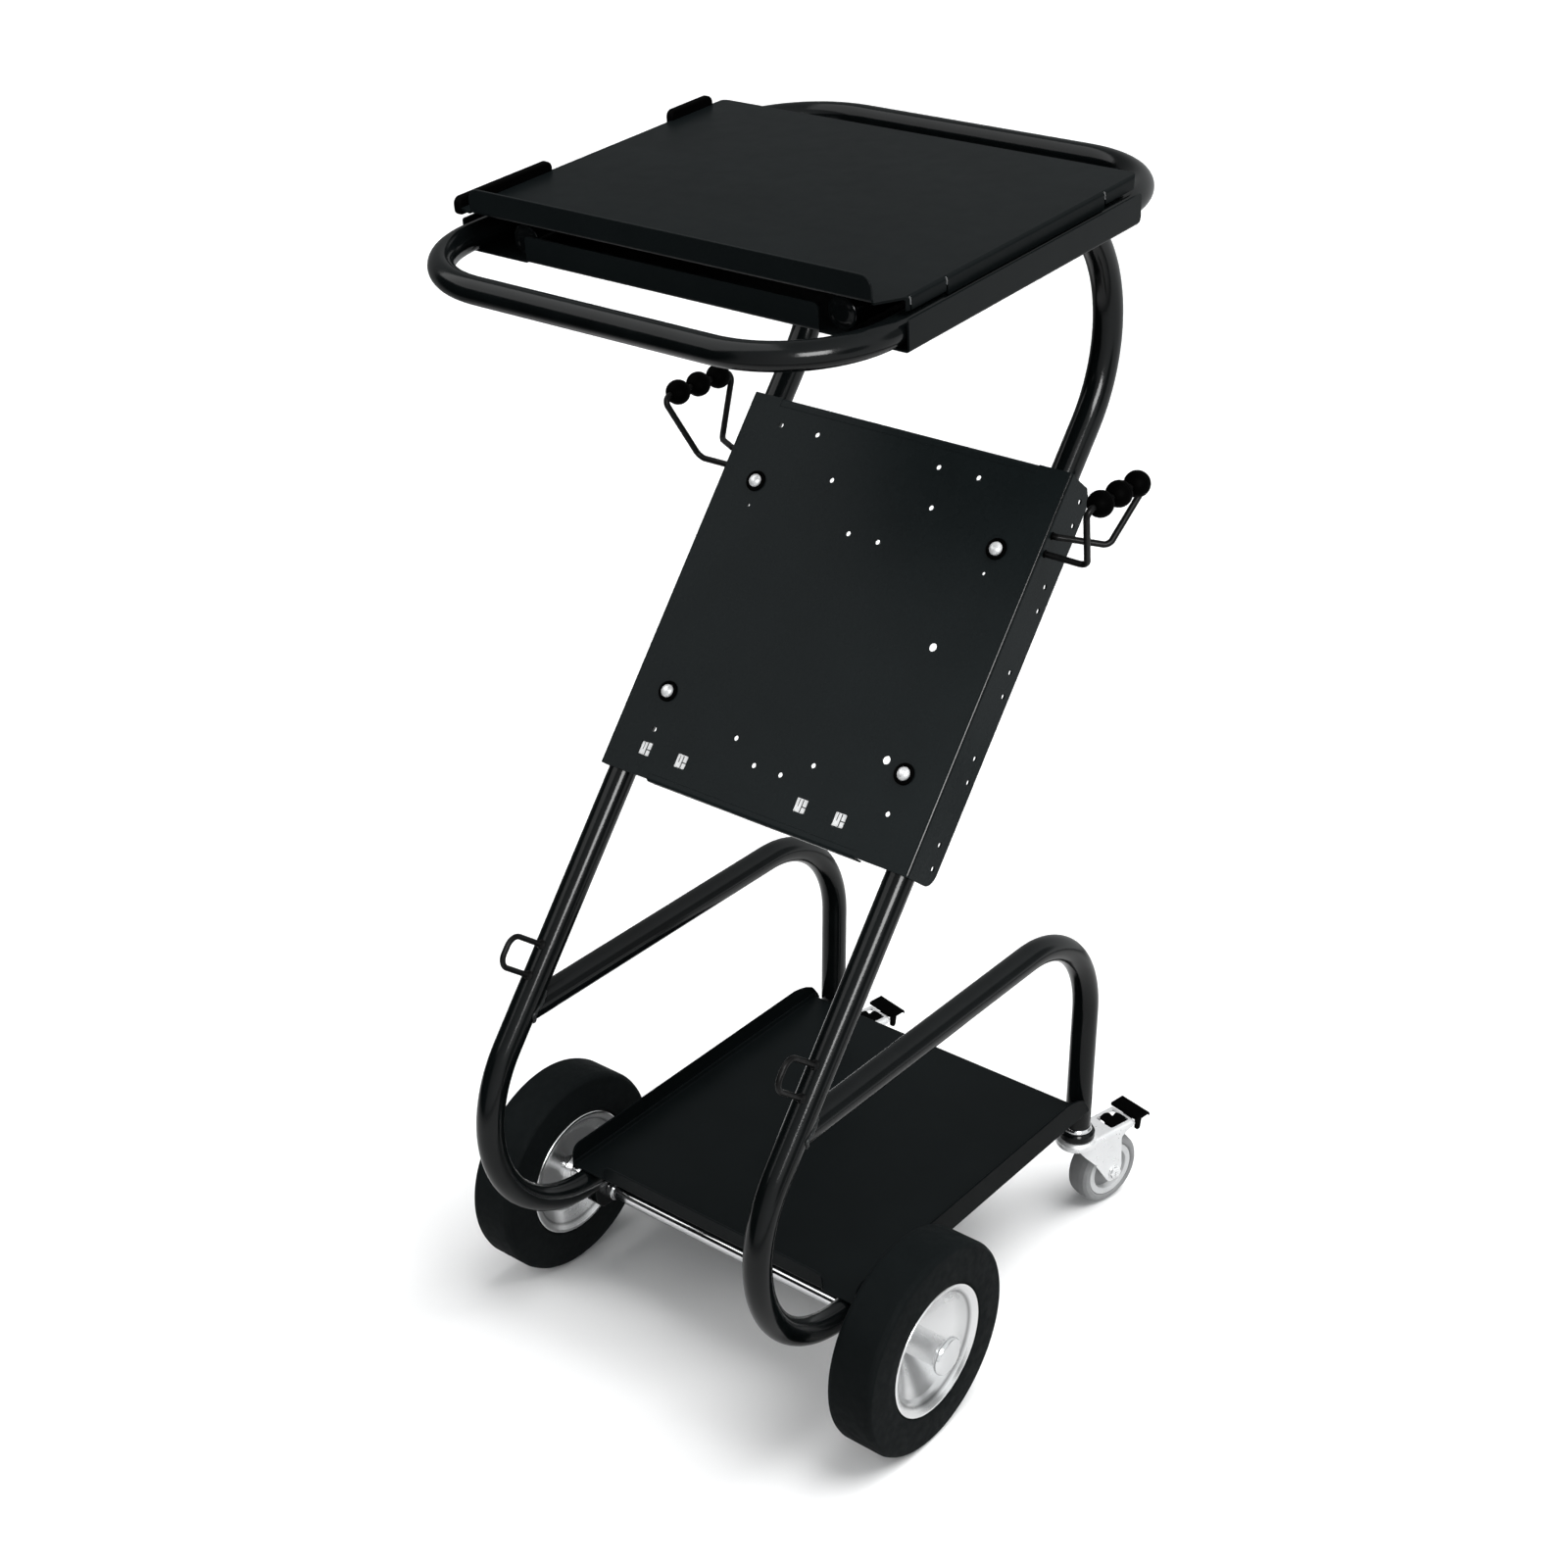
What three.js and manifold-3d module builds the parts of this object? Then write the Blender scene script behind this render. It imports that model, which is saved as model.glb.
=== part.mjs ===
// Welding cart: two leaning bent-tube uprights carry a tilted machine shelf with
// two tube handles, a vertical tool panel with cable hooks, and a low bottle tray.
// The cart rolls on two large wheels and two braked swivel casters.
// Millimetres, +Z up, +X to the right seen from the large wheels, +Y towards the casters.
import * as THREE from 'three';
import { mergeVertices } from 'three/addons/utils/BufferGeometryUtils.js';
import Module from 'manifold-3d';

const wasm = await Module();
wasm.setup();

// ---------------------------------------------------------------- dimensions
const GAP = 0.3;                    // clearance between touching pieces
const TUBE_R = 12.5;                // frame tube, diameter 25
const FRAME_X = 150.5;              // half distance between the upright centre lines
const LEAN = THREE.MathUtils.degToRad(51.78);  // upright lean from the horizontal
const UPRIGHT_Z = 928;              // height where the upright line crosses the post axis
const TOP_BEND_R = 121;             // upper bend of the upright
const LOW_BEND_R = 124;             // lower bend of the upright
const LOW_RUN_Z = 121.5;            // centre height of the run under the tray
const LOW_RUN_END = -305;           // where that run stops
const HOOP_Z = 349;                 // centre height of the hoop's level run
const HOOP_BEND_R = 112;
const POST_BOTTOM = 105;            // lower end of the caster post

const SHELF_TILT = THREE.MathUtils.degToRad(4.745);
const SHELF_Z = 1053.4;             // height of the handle tube's centre line at Y = 0
const TOP_RUN_W = 2.2;              // the uprights' top runs lie this far above that line
const TOP_RUN_END = -404;           // and stop behind the pan's near wall
const RING_R = 10.65;               // handle tube, diameter 21.3
const RING_X = 198.75;              // half distance between the handle tube's sides
const RING_NEAR = -499.7;           // centre line of the near and far handle bars
const RING_FAR = -20.2;
const RING_BEND_R = 87.5;
const RING_SPLIT = -250;            // the two handles meet here, under the plate

const SHEET = 2.5;                  // sheet thickness
const PLATE_X = 206;                // half width of the shelf plate over its side flanges
const PLATE_NEAR = -422;
const PLATE_FAR = -98;
const PLATE_TOP = 23.5;             // above the handle tube's centre line
const PLATE_SKIRT = 13.6;           // depth of the down-turned sides, which rest on the handle tube
const PLATE_SHORT = 10.3;           // their depth near both ends
const PLATE_SLITS = [-399.5, -356, -146.5];  // bend reliefs in the sides
const LIP_HEIGHT = 18.3;            // up-turned near lip
const LIP_X = 190;
const TAB_HEIGHT = 7.8;             // up-turned tabs on the left side
const TABS = [[-420, -316], [-167, -115]];
const PAN_X = RING_X + RING_R + GAP + SHEET;  // half width of the pan that holds the handle tube
const PAN_NEAR = -410;
const PAN_FAR = -105;
const PAN_WALL_TOP = 10.9;
const PAN_FRONT = [-147, 134, 8];   // near wall: from, to, upper edge

const PANEL_X = 166;                // half width of the tool panel over its side flanges
const PANEL_TOP = -151.5;           // along the upright, from where it crosses the post axis
const PANEL_BOTTOM = -508.5;
const PANEL_FRONT = 15.6;           // front face above the upright's centre line
const PANEL_DEPTH = 44;             // depth of the side flanges
const BOLT_X = 126.6;
const BOLT_S = [-229.5, -430.2];

const TRAY_X = 166;                 // half width of the tray over its lips
const TRAY_NEAR = -386;
const TRAY_FAR = -15;
const TRAY_FLOOR = 134.8;           // underside of the tray floor
const TRAY_LIP_TOP = 157.5;
const TRAY_WALL_LOW = 129.8;         // the side walls reach below the floor, outside the tubes
const TRAY_WALL_FAR = -5.5;

const WHEEL_Y = -355.8;             // axle of the large wheels
const WHEEL_R = 100.6;
const WHEEL_X = 208.3;              // middle of the large wheel
const WHEEL_HALF = 23.5;
const AXLE_R = 8;

const CASTER_R = 37.5;
const CASTER_TRAIL = 39.4;
const CASTER_HALF = 12.7;
const CASTER_TURN = -0.2295;        // swivel angle of both casters as they stand

const HOOK_R = 2.8;                 // wire of the cable hooks
const BALL_R = 11.2;
const RING_WIRE_R = 2.6;            // wire of the strap rings
const RING_S = -691;                // their place along the upright
const LOOP_HALF = 14.5;              // half width and reach of the loop, from the upright's centre line
const LOOP_OUT = 58.5;

const WHEEL_FACETS = 28;            // facets round a large wheel
const CASTER_FACETS = 20;           // facets round a caster wheel
const SIDES = 14;                   // facets round a frame tube
const CLEAR_R = (TUBE_R + GAP) / Math.cos(Math.PI / SIDES);  // cutter that clears a facetted tube

// ---------------------------------------------------------------- helpers
const V2 = (x, y) => new THREE.Vector2(x, y);
const V3 = (x, y, z) => new THREE.Vector3(x, y, z);

function signedVolume(g) {
  const p = g.attributes.position, ix = g.index;
  const a = V3(), b = V3(), c = V3();
  let v = 0;
  for (let i = 0; i < ix.count; i += 3) {
    a.fromBufferAttribute(p, ix.getX(i));
    b.fromBufferAttribute(p, ix.getX(i + 1));
    c.fromBufferAttribute(p, ix.getX(i + 2));
    v += a.dot(b.cross(c));
  }
  return v / 6;
}

// welded, outward-facing geometry with positions only
function clean(g) {
  g = g.clone();
  g.deleteAttribute('normal');
  g.deleteAttribute('uv');
  g = mergeVertices(g, 1e-4);
  const keep = [];
  const ix = g.index.array;
  for (let i = 0; i < ix.length; i += 3) {
    if (ix[i] !== ix[i + 1] && ix[i + 1] !== ix[i + 2] && ix[i] !== ix[i + 2]) keep.push(ix[i], ix[i + 1], ix[i + 2]);
  }
  g.setIndex(keep);
  if (signedVolume(g) < 0) {
    for (let i = 0; i < keep.length; i += 3) { const t = keep[i]; keep[i] = keep[i + 1]; keep[i + 1] = t; }
    g.setIndex(keep);
  }
  return g;
}

function solid(g) {
  const c = clean(g);
  return new wasm.Manifold(new wasm.Mesh({
    numProp: 3,
    vertProperties: new Float32Array(c.attributes.position.array),
    triVerts: new Uint32Array(c.index.array),
  }));
}

function geometry(m) {
  const mesh = m.getMesh();
  const g = new THREE.BufferGeometry();
  g.setAttribute('position', new THREE.BufferAttribute(new Float32Array(mesh.vertProperties), 3));
  g.setIndex(new THREE.BufferAttribute(new Uint32Array(mesh.triVerts), 1));
  return g;
}

const join = (first, ...rest) => rest.reduce((m, r) => m.add(r), first);
const cut = (first, ...rest) => rest.reduce((m, r) => m.subtract(r), first);

function box(x0, x1, y0, y1, z0, z1) {
  const g = new THREE.BoxGeometry(x1 - x0, y1 - y0, z1 - z0);
  g.translate((x0 + x1) / 2, (y0 + y1) / 2, (z0 + z1) / 2);
  return g;
}

// a path given by its own stations, so straight runs cost one step
class StationPath extends THREE.Curve {
  constructor(stations) { super(); this.stations = stations; }
  at(u) { return this.stations[Math.round(u * (this.stations.length - 1))]; }
  getPoint(t, out = V3()) { return out.copy(this.at(t).p); }
  getPointAt(u, out = V3()) { return out.copy(this.at(u).p); }
  getTangent(t, out = V3()) { return out.copy(this.at(t).t); }
  getTangentAt(u, out = V3()) { return out.copy(this.at(u).t); }
}

// stations of a polyline whose corners are rounded to the given radii
function rounded(points, radii, stepDeg = 13) {
  const st = [];
  const n = points.length;
  st.push({ p: points[0].clone(), t: points[1].clone().sub(points[0]).normalize() });
  for (let i = 1; i < n - 1; i++) {
    const a = points[i].clone().sub(points[i - 1]).normalize();
    const b = points[i + 1].clone().sub(points[i]).normalize();
    const turn = a.angleTo(b);
    const r = Array.isArray(radii) ? radii[i - 1] : radii;
    const len = r * Math.tan(turn / 2);
    const start = points[i].clone().addScaledVector(a, -len);
    const side = b.clone().addScaledVector(a, -a.dot(b)).normalize();
    const centre = start.clone().addScaledVector(side, r);
    const steps = Math.max(2, Math.round(THREE.MathUtils.radToDeg(turn) / stepDeg));
    for (let k = 0; k <= steps; k++) {
      const q = (turn * k) / steps;
      st.push({
        p: centre.clone().addScaledVector(side, -r * Math.cos(q)).addScaledVector(a, r * Math.sin(q)),
        t: a.clone().multiplyScalar(Math.cos(q)).addScaledVector(side, Math.sin(q)),
      });
    }
  }
  st.push({ p: points[n - 1].clone(), t: points[n - 1].clone().sub(points[n - 2]).normalize() });
  return st;
}

function disc(r, n, turn = 0) {
  const pts = [];
  for (let i = 0; i < n; i++) {
    const a = turn + (2 * Math.PI * i) / n;
    pts.push(V2(r * Math.cos(a), r * Math.sin(a)));
  }
  return new THREE.Shape(pts);
}

function sweep(stations, r, sides = SIDES) {
  return new THREE.ExtrudeGeometry(disc(r, sides), {
    steps: stations.length - 1, bevelEnabled: false, extrudePath: new StationPath(stations),
  });
}

// round bar from a to b
function bar(a, b, r, sides = 20) {
  const t = b.clone().sub(a).normalize();
  return sweep([{ p: a, t }, { p: b, t }], r, sides);
}

// turned piece: profile of [radius, axial] pairs, axis along X, Y or Z
function turned(profile, axis, segments = 32) {
  const g = new THREE.LatheGeometry(profile.map(([r, h]) => V2(r, h)), segments);
  if (axis === 'x') g.rotateZ(-Math.PI / 2);
  if (axis === 'z') g.rotateX(Math.PI / 2);
  return g;
}

function plate(shape, depth) {
  return new THREE.ExtrudeGeometry(shape, { depth, bevelEnabled: false, curveSegments: 5, steps: 1 });
}

// rectangle with its own radius at each corner: bottom-left, bottom-right, top-right, top-left
function roundRect(x0, x1, y0, y1, r) {
  const [bl, br, tr, tl] = r;
  const s = new THREE.Shape();
  s.moveTo(x0 + bl, y0);
  s.lineTo(x1 - br, y0);
  if (br) s.absarc(x1 - br, y0 + br, br, -Math.PI / 2, 0, false);
  s.lineTo(x1, y1 - tr);
  if (tr) s.absarc(x1 - tr, y1 - tr, tr, 0, Math.PI / 2, false);
  s.lineTo(x0 + tl, y1);
  if (tl) s.absarc(x0 + tl, y1 - tl, tl, Math.PI / 2, Math.PI, false);
  s.lineTo(x0, y0 + bl);
  if (bl) s.absarc(x0 + bl, y0 + bl, bl, Math.PI, 1.5 * Math.PI, false);
  return s;
}

// local frames: (x, along, out) to the cart
const leanFrame = new THREE.Matrix4().makeBasis(
  V3(1, 0, 0), V3(0, Math.cos(LEAN), Math.sin(LEAN)), V3(0, -Math.sin(LEAN), Math.cos(LEAN)),
).setPosition(0, 0, UPRIGHT_Z);
const shelfFrame = new THREE.Matrix4().makeBasis(
  V3(1, 0, 0), V3(0, Math.cos(SHELF_TILT), Math.sin(SHELF_TILT)), V3(0, -Math.sin(SHELF_TILT), Math.cos(SHELF_TILT)),
).setPosition(0, 0, SHELF_Z);
const onLean = (x, s, n) => V3(x, s, n).applyMatrix4(leanFrame);
const onShelf = (x, v, w) => V3(x, v, w).applyMatrix4(shelfFrame);

const pieces = [];
const paint = {
  tube: { color: 0x191a1b, roughness: 0.32, metalness: 0.0 },
  sheet: { color: 0x24282a, roughness: 0.5, metalness: 0.0 },
  wire: { color: 0x121313, roughness: 0.38, metalness: 0.0 },
  plastic: { color: 0x0b0b0b, roughness: 0.6, metalness: 0.0 },
  zinc: { color: 0xd9dadb, roughness: 0.3, metalness: 0.9 },
  chrome: { color: 0xe6e7e8, roughness: 0.12, metalness: 1.0 },
  tyre: { color: 0x1b1e1f, roughness: 0.75, metalness: 0.0 },
  greyTyre: { color: 0x77787a, roughness: 0.7, metalness: 0.0 },
  greyHub: { color: 0xd4d5d6, roughness: 0.5, metalness: 0.0 },
};

function add(name, geom, look) {
  const g = geom instanceof THREE.BufferGeometry ? clean(geom) : clean(geometry(geom));
  const mesh = new THREE.Mesh(g, new THREE.MeshStandardMaterial(paint[look]));
  mesh.name = name;
  pieces.push(mesh);
}

const sidesOf = [['left', -1], ['right', 1]];

// ---------------------------------------------------------------- leaning uprights
const meetTop = (() => {
  const runZ = SHELF_Z + TOP_RUN_W / Math.cos(SHELF_TILT);
  const y = (runZ - UPRIGHT_Z) / (Math.tan(LEAN) - Math.tan(SHELF_TILT));
  return V3(0, y, UPRIGHT_Z + Math.tan(LEAN) * y);
})();
const meetLow = V3(0, (LOW_RUN_Z - UPRIGHT_Z) / Math.tan(LEAN), LOW_RUN_Z);

function uprightStations(x) {
  const run = [onShelf(0, TOP_RUN_END, TOP_RUN_W), meetTop, meetLow, V3(0, LOW_RUN_END, LOW_RUN_Z)];
  return rounded(run.map((p) => V3(x, p.y, p.z)), [TOP_BEND_R, LOW_BEND_R], 14);
}

for (const [side, k] of sidesOf) add(`${side}_upright`, sweep(uprightStations(k * FRAME_X), TUBE_R), 'tube');

// ---------------------------------------------------------------- hoops with the caster posts
for (const [side, k] of sidesOf) {
  const x = k * FRAME_X;
  const yStart = (HOOP_Z - UPRIGHT_Z) / Math.tan(LEAN);
  const st = rounded([V3(x, yStart, HOOP_Z), V3(x, 0, HOOP_Z), V3(x, 0, POST_BOTTOM)], HOOP_BEND_R, 15);
  const fishMouth = bar(onLean(x, -640, 0), onLean(x, -830, 0), CLEAR_R, SIDES);
  const far = box(x - 40, x + 40, -700, yStart, 200, 500);
  add(`${side}_hoop`, cut(solid(sweep(st, TUBE_R)), solid(fishMouth), solid(far)), 'tube');
}

// ---------------------------------------------------------------- handles
{
  const near = [onShelf(-RING_X, RING_SPLIT - GAP / 2, 0), onShelf(-RING_X, RING_NEAR, 0), onShelf(RING_X, RING_NEAR, 0), onShelf(RING_X, RING_SPLIT - GAP / 2, 0)];
  const far = [onShelf(-RING_X, RING_SPLIT + GAP / 2, 0), onShelf(-RING_X, RING_FAR, 0), onShelf(RING_X, RING_FAR, 0), onShelf(RING_X, RING_SPLIT + GAP / 2, 0)];
  add('near_handle', sweep(rounded(near, RING_BEND_R, 15), RING_R), 'tube');
  add('far_handle', sweep(rounded(far, RING_BEND_R, 15), RING_R), 'tube');
}

// ---------------------------------------------------------------- shelf plate
{
  const w1 = PLATE_TOP, w0 = PLATE_TOP - SHEET;
  const inX = PLATE_X - SHEET;
  const [slitA, slitB, slitC] = PLATE_SLITS;
  // deck with its near corners cut back to the first relief
  const deck = plate(new THREE.Shape([
    V2(-LIP_X - 2, PLATE_NEAR), V2(LIP_X + 2, PLATE_NEAR), V2(PLATE_X, slitA), V2(PLATE_X, PLATE_FAR - 8), V2(PLATE_X - 3, PLATE_FAR - 2), V2(PLATE_X - 9, PLATE_FAR),
    V2(-PLATE_X + 9, PLATE_FAR), V2(-PLATE_X + 3, PLATE_FAR - 2), V2(-PLATE_X, PLATE_FAR - 8), V2(-PLATE_X, PLATE_NEAR + 2),
  ]), SHEET);
  deck.translate(0, 0, w0);
  let m = solid(deck);
  // down-turned sides: deep in the middle, shallow near both ends
  const side = [
    V2(slitA, w0 + 1), V2(slitA, w1 - PLATE_SHORT), V2(slitB, w1 - PLATE_SHORT), V2(slitB, w1 - PLATE_SKIRT),
    V2(slitC, w1 - PLATE_SKIRT), V2(slitC, w1 - PLATE_SHORT), V2(PLATE_FAR - 6, w1 - PLATE_SHORT), V2(PLATE_FAR - 6, w0 + 1),
  ];
  for (const k of [-1, 1]) {
    const skirt = plate(new THREE.Shape(side), SHEET);
    skirt.rotateX(Math.PI / 2);
    skirt.rotateZ(Math.PI / 2);
    skirt.translate(k > 0 ? inX : -PLATE_X, 0, 0);
    m = join(m, solid(skirt));
  }
  // near lip with rounded upper corners, standing on the near edge
  const lip = plate(roundRect(-LIP_X, LIP_X, w0, w1 + LIP_HEIGHT, [0, 0, 10, 10]), SHEET);
  lip.rotateX(Math.PI / 2);
  lip.translate(0, PLATE_NEAR + SHEET, 0);
  m = join(m, solid(lip));
  // two up-turned tabs on the left side
  for (const [a, b] of TABS) {
    const tab = plate(roundRect(a, b, w0, w1 + TAB_HEIGHT, [0, 0, 5, 5]), SHEET);
    tab.rotateX(Math.PI / 2);
    tab.rotateZ(Math.PI / 2);
    tab.translate(-PLATE_X, 0, 0);
    m = join(m, solid(tab));
  }
  // bend reliefs in both sides
  for (const v of [slitB, slitC - 1.6]) {
    m = cut(m, solid(box(-PLATE_X - 1, -inX + 0.6, v, v + 1.6, w1 - PLATE_SKIRT - 1, w0 - 0.4)), solid(box(inX - 0.6, PLATE_X + 1, v, v + 1.6, w1 - PLATE_SKIRT - 1, w0 - 0.4)));
  }
  const g = geometry(m);
  g.applyMatrix4(shelfFrame);
  add('shelf_plate', g, 'sheet');
}

// ---------------------------------------------------------------- pan that holds the handle tube
{
  const b1 = -RING_R - GAP, b0 = b1 - SHEET;
  const inX = PAN_X - SHEET;
  let m = solid(box(-PAN_X, PAN_X, PAN_NEAR, PAN_FAR, b0, b1));
  for (const k of [-1, 1]) {
    const wall = plate(roundRect(PAN_NEAR, PAN_FAR, b0, PAN_WALL_TOP, [0, 7, 0, 0]), SHEET);
    wall.rotateX(Math.PI / 2);
    wall.rotateZ(Math.PI / 2);
    wall.translate(k > 0 ? inX : -PAN_X, 0, 0);
    m = join(m, solid(wall));
    // slot that lets the upright drop through the pan floor
    m = cut(m, solid(box(k * FRAME_X - TUBE_R - 2.5, k * FRAME_X + TUBE_R + 2.5, PAN_FAR - 78, PAN_FAR + 5, b0 - 2, b1 + 0.1)));
  }
  const [x0, x1, top] = PAN_FRONT;
  const front = plate(roundRect(x0, x1, b0, top, [0, 0, 4, 4]), SHEET);
  front.rotateX(Math.PI / 2);
  front.translate(0, PAN_NEAR + SHEET, 0);
  m = join(m, solid(front));
  const g = geometry(m);
  g.applyMatrix4(shelfFrame);
  add('shelf_pan', g, 'sheet');
}

// ---------------------------------------------------------------- tool panel
{
  const through = (x, s, r, n = 6) => solid(bar(V3(x, s, PANEL_FRONT - SHEET - 4), V3(x, s, PANEL_FRONT + 2), r, n));
  const across = (k, s, n, r, sides = 5) => solid(bar(V3(k * (PANEL_X - SHEET - 2), s, n), V3(k * (PANEL_X + 2), s, n), r, sides));
  const back = PANEL_FRONT - PANEL_DEPTH;
  let m = solid(box(-PANEL_X, PANEL_X, PANEL_BOTTOM, PANEL_TOP, PANEL_FRONT - SHEET, PANEL_FRONT));
  for (const k of [-1, 1]) {
    // side flange: outline in (along, out), pushed across the sheet thickness
    const flange = plate(new THREE.Shape([
      V2(PANEL_BOTTOM, PANEL_FRONT - 0.4), V2(PANEL_BOTTOM, back + 14), V2(PANEL_BOTTOM + 4, back + 4), V2(PANEL_BOTTOM + 12, back),
      V2(PANEL_TOP - 10, back), V2(PANEL_TOP - 1, back + 12), V2(PANEL_TOP - 1, PANEL_FRONT - 0.4),
    ]), SHEET);
    flange.rotateX(Math.PI / 2);
    flange.rotateZ(Math.PI / 2);
    flange.translate(k > 0 ? PANEL_X - SHEET : -PANEL_X, 0, 0);
    m = join(m, solid(flange));
    for (let i = 0; i < 5; i++) m = cut(m, across(k, -166 - 76.7 * i, -14, 2.0), across(k, -186 - 76.7 * i, -18.5, 2.0));
    // two holes for the hook wire
    m = cut(m, across(k, -220.5, 7.6, HOOK_R + GAP + 0.3, 8), across(k, -204.5, 7.6, HOOK_R + GAP + 0.3, 8));
  }
  for (const [x, s] of [
    [-125, -175.3], [-85, -175.3], [43.6, -175.3], [84, -175.3], [-52.5, -210.6], [52, -210.6], [-15.5, -251.4], [15.5, -251.4],
    [-41.5, -448.7], [41.5, -448.7], [-125, -465.6], [-14, -465.6], [14.5, -465.6], [126, -465.6],
  ]) m = cut(m, through(x, s, 2.4));
  for (const x of [-124.5, 123.6]) m = cut(m, through(x, -251.8, 1.6));
  for (const s of [-323, -424]) m = cut(m, through(105.5, s, 3.7, 8));
  for (const x of [-126, -85.5, 44.8, 85.2]) m = cut(m, solid(box(x - 6, x + 6, -490, -478, PANEL_FRONT - SHEET - 2, PANEL_FRONT + 2)));
  for (const s of BOLT_S) for (const k of [-1, 1]) m = cut(m, through(k * BOLT_X, s, 4.8, 8));
  // short folded edges at the top and the bottom
  m = join(m,
    solid(box(-134, 134, PANEL_TOP - SHEET, PANEL_TOP, PANEL_FRONT - 14, PANEL_FRONT - 0.4)),
    solid(box(-112, 112, PANEL_BOTTOM - 1.6, PANEL_BOTTOM + SHEET - 1.6, PANEL_FRONT - 14, PANEL_FRONT - 0.4)));
  const g = geometry(m);
  g.applyMatrix4(leanFrame);
  add('tool_panel', g, 'sheet');
}

// lugs on the uprights, cup washers and dome bolts that hold the panel
BOLT_S.forEach((s, row) => {
  for (const [side, k] of sidesOf) {
    const tag = `${side}_${row ? 'lower' : 'upper'}`;
    const n1 = PANEL_FRONT - SHEET - GAP, n0 = n1 - 4;
    const lug = plate(roundRect(110, FRAME_X - 2, s - 14, s + 14, [6, 0, 0, 6]), 4);
    lug.translate(0, 0, n0);
    if (k < 0) lug.applyMatrix4(new THREE.Matrix4().makeScale(-1, 1, 1));
    const lugHole = bar(V3(k * BOLT_X, s, n0 - 2), V3(k * BOLT_X, s, n1 + 2), 4.8, 8);
    const clearTube = bar(V3(k * FRAME_X, s - 30, 0), V3(k * FRAME_X, s + 30, 0), CLEAR_R, SIDES);
    const lg = geometry(cut(solid(lug), solid(lugHole), solid(clearTube)));
    lg.applyMatrix4(leanFrame);
    add(`${tag}_lug`, lg, 'tube');

    const cup = turned([[4.5, PANEL_FRONT + GAP], [9.5, PANEL_FRONT + GAP], [9.5, PANEL_FRONT + 1.2], [8.6, PANEL_FRONT + 2.0], [7.0, PANEL_FRONT + 1.1], [4.5, PANEL_FRONT + 1.1], [4.5, PANEL_FRONT + GAP]], 'z', 12);
    cup.translate(k * BOLT_X, s, 0);
    cup.applyMatrix4(leanFrame);
    add(`${tag}_cup_washer`, cup, 'plastic');

    const h0 = PANEL_FRONT + 1.4, nut = n0 - GAP;
    const bolt = turned([[0, nut - 9], [4, nut - 9], [4, nut - 6.5], [7.2, nut - 6.5], [7.2, nut], [4, nut], [4, h0], [6, h0], [6, h0 + 1], [4.8, h0 + 2.9], [2.2, h0 + 4.1], [0, h0 + 4.4]], 'z', 8);
    bolt.translate(k * BOLT_X, s, 0);
    bolt.applyMatrix4(leanFrame);
    add(`${tag}_bolt`, bolt, 'zinc');
  }
});

// ---------------------------------------------------------------- cable hooks with three balls each
const BAR = { x: 219, z: UPRIGHT_Z - 110, near: -170, far: -72 };
for (const [side, k] of sidesOf) {
  const mx = (p) => V3(k * p.x, p.y, p.z);
  const rootA = onLean(163.4, -220.5, 7.6), rootB = onLean(163.4, -204.5, 7.6);
  const pts = [rootA, V3(204, -138, UPRIGHT_Z - 171), V3(BAR.x, BAR.near, BAR.z), V3(BAR.x, BAR.far, BAR.z), V3(204.5, -106, UPRIGHT_Z - 163), rootB].map(mx);
  // short level stubs keep the wire square in its two holes
  const stubA = mx(onLean(171, -220.5, 7.6)), stubB = mx(onLean(171, -204.5, 7.6));
  const st = rounded([pts[0], stubA, pts[1], pts[2], pts[3], pts[4], stubB, pts[5]], [3, 7, 5, 5, 7, 3], 40);
  add(`${side}_hook`, sweep(st, HOOK_R, 8), 'wire');
  [-149, -121, -93].forEach((y, i) => {
    const pr = [];
    const bore = HOOK_R + GAP + 0.3;
    const a0 = Math.asin(bore / BALL_R);
    for (let j = 0; j <= 6; j++) {
      const a = a0 + ((Math.PI - 2 * a0) * j) / 6;
      pr.push([BALL_R * Math.sin(a), -BALL_R * Math.cos(a)]);
    }
    pr.push(pr[0].slice());
    const ball = turned(pr, 'y', 10);
    ball.translate(k * BAR.x, y, BAR.z);
    add(`${side}_hook_ball_${i + 1}`, ball, 'plastic');
  });
}

// ---------------------------------------------------------------- strap rings on the uprights
for (const [side, k] of sidesOf) {
  const n0 = TUBE_R + 0.2, n1 = LOOP_OUT - RING_WIRE_R;
  const pts = [onLean(k * FRAME_X, RING_S - LOOP_HALF, n0), onLean(k * FRAME_X, RING_S - LOOP_HALF, n1), onLean(k * FRAME_X, RING_S + LOOP_HALF, n1), onLean(k * FRAME_X, RING_S + LOOP_HALF, n0)];
  add(`${side}_strap_ring`, sweep(rounded(pts, 11, 24), RING_WIRE_R, 8), 'wire');
}

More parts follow.
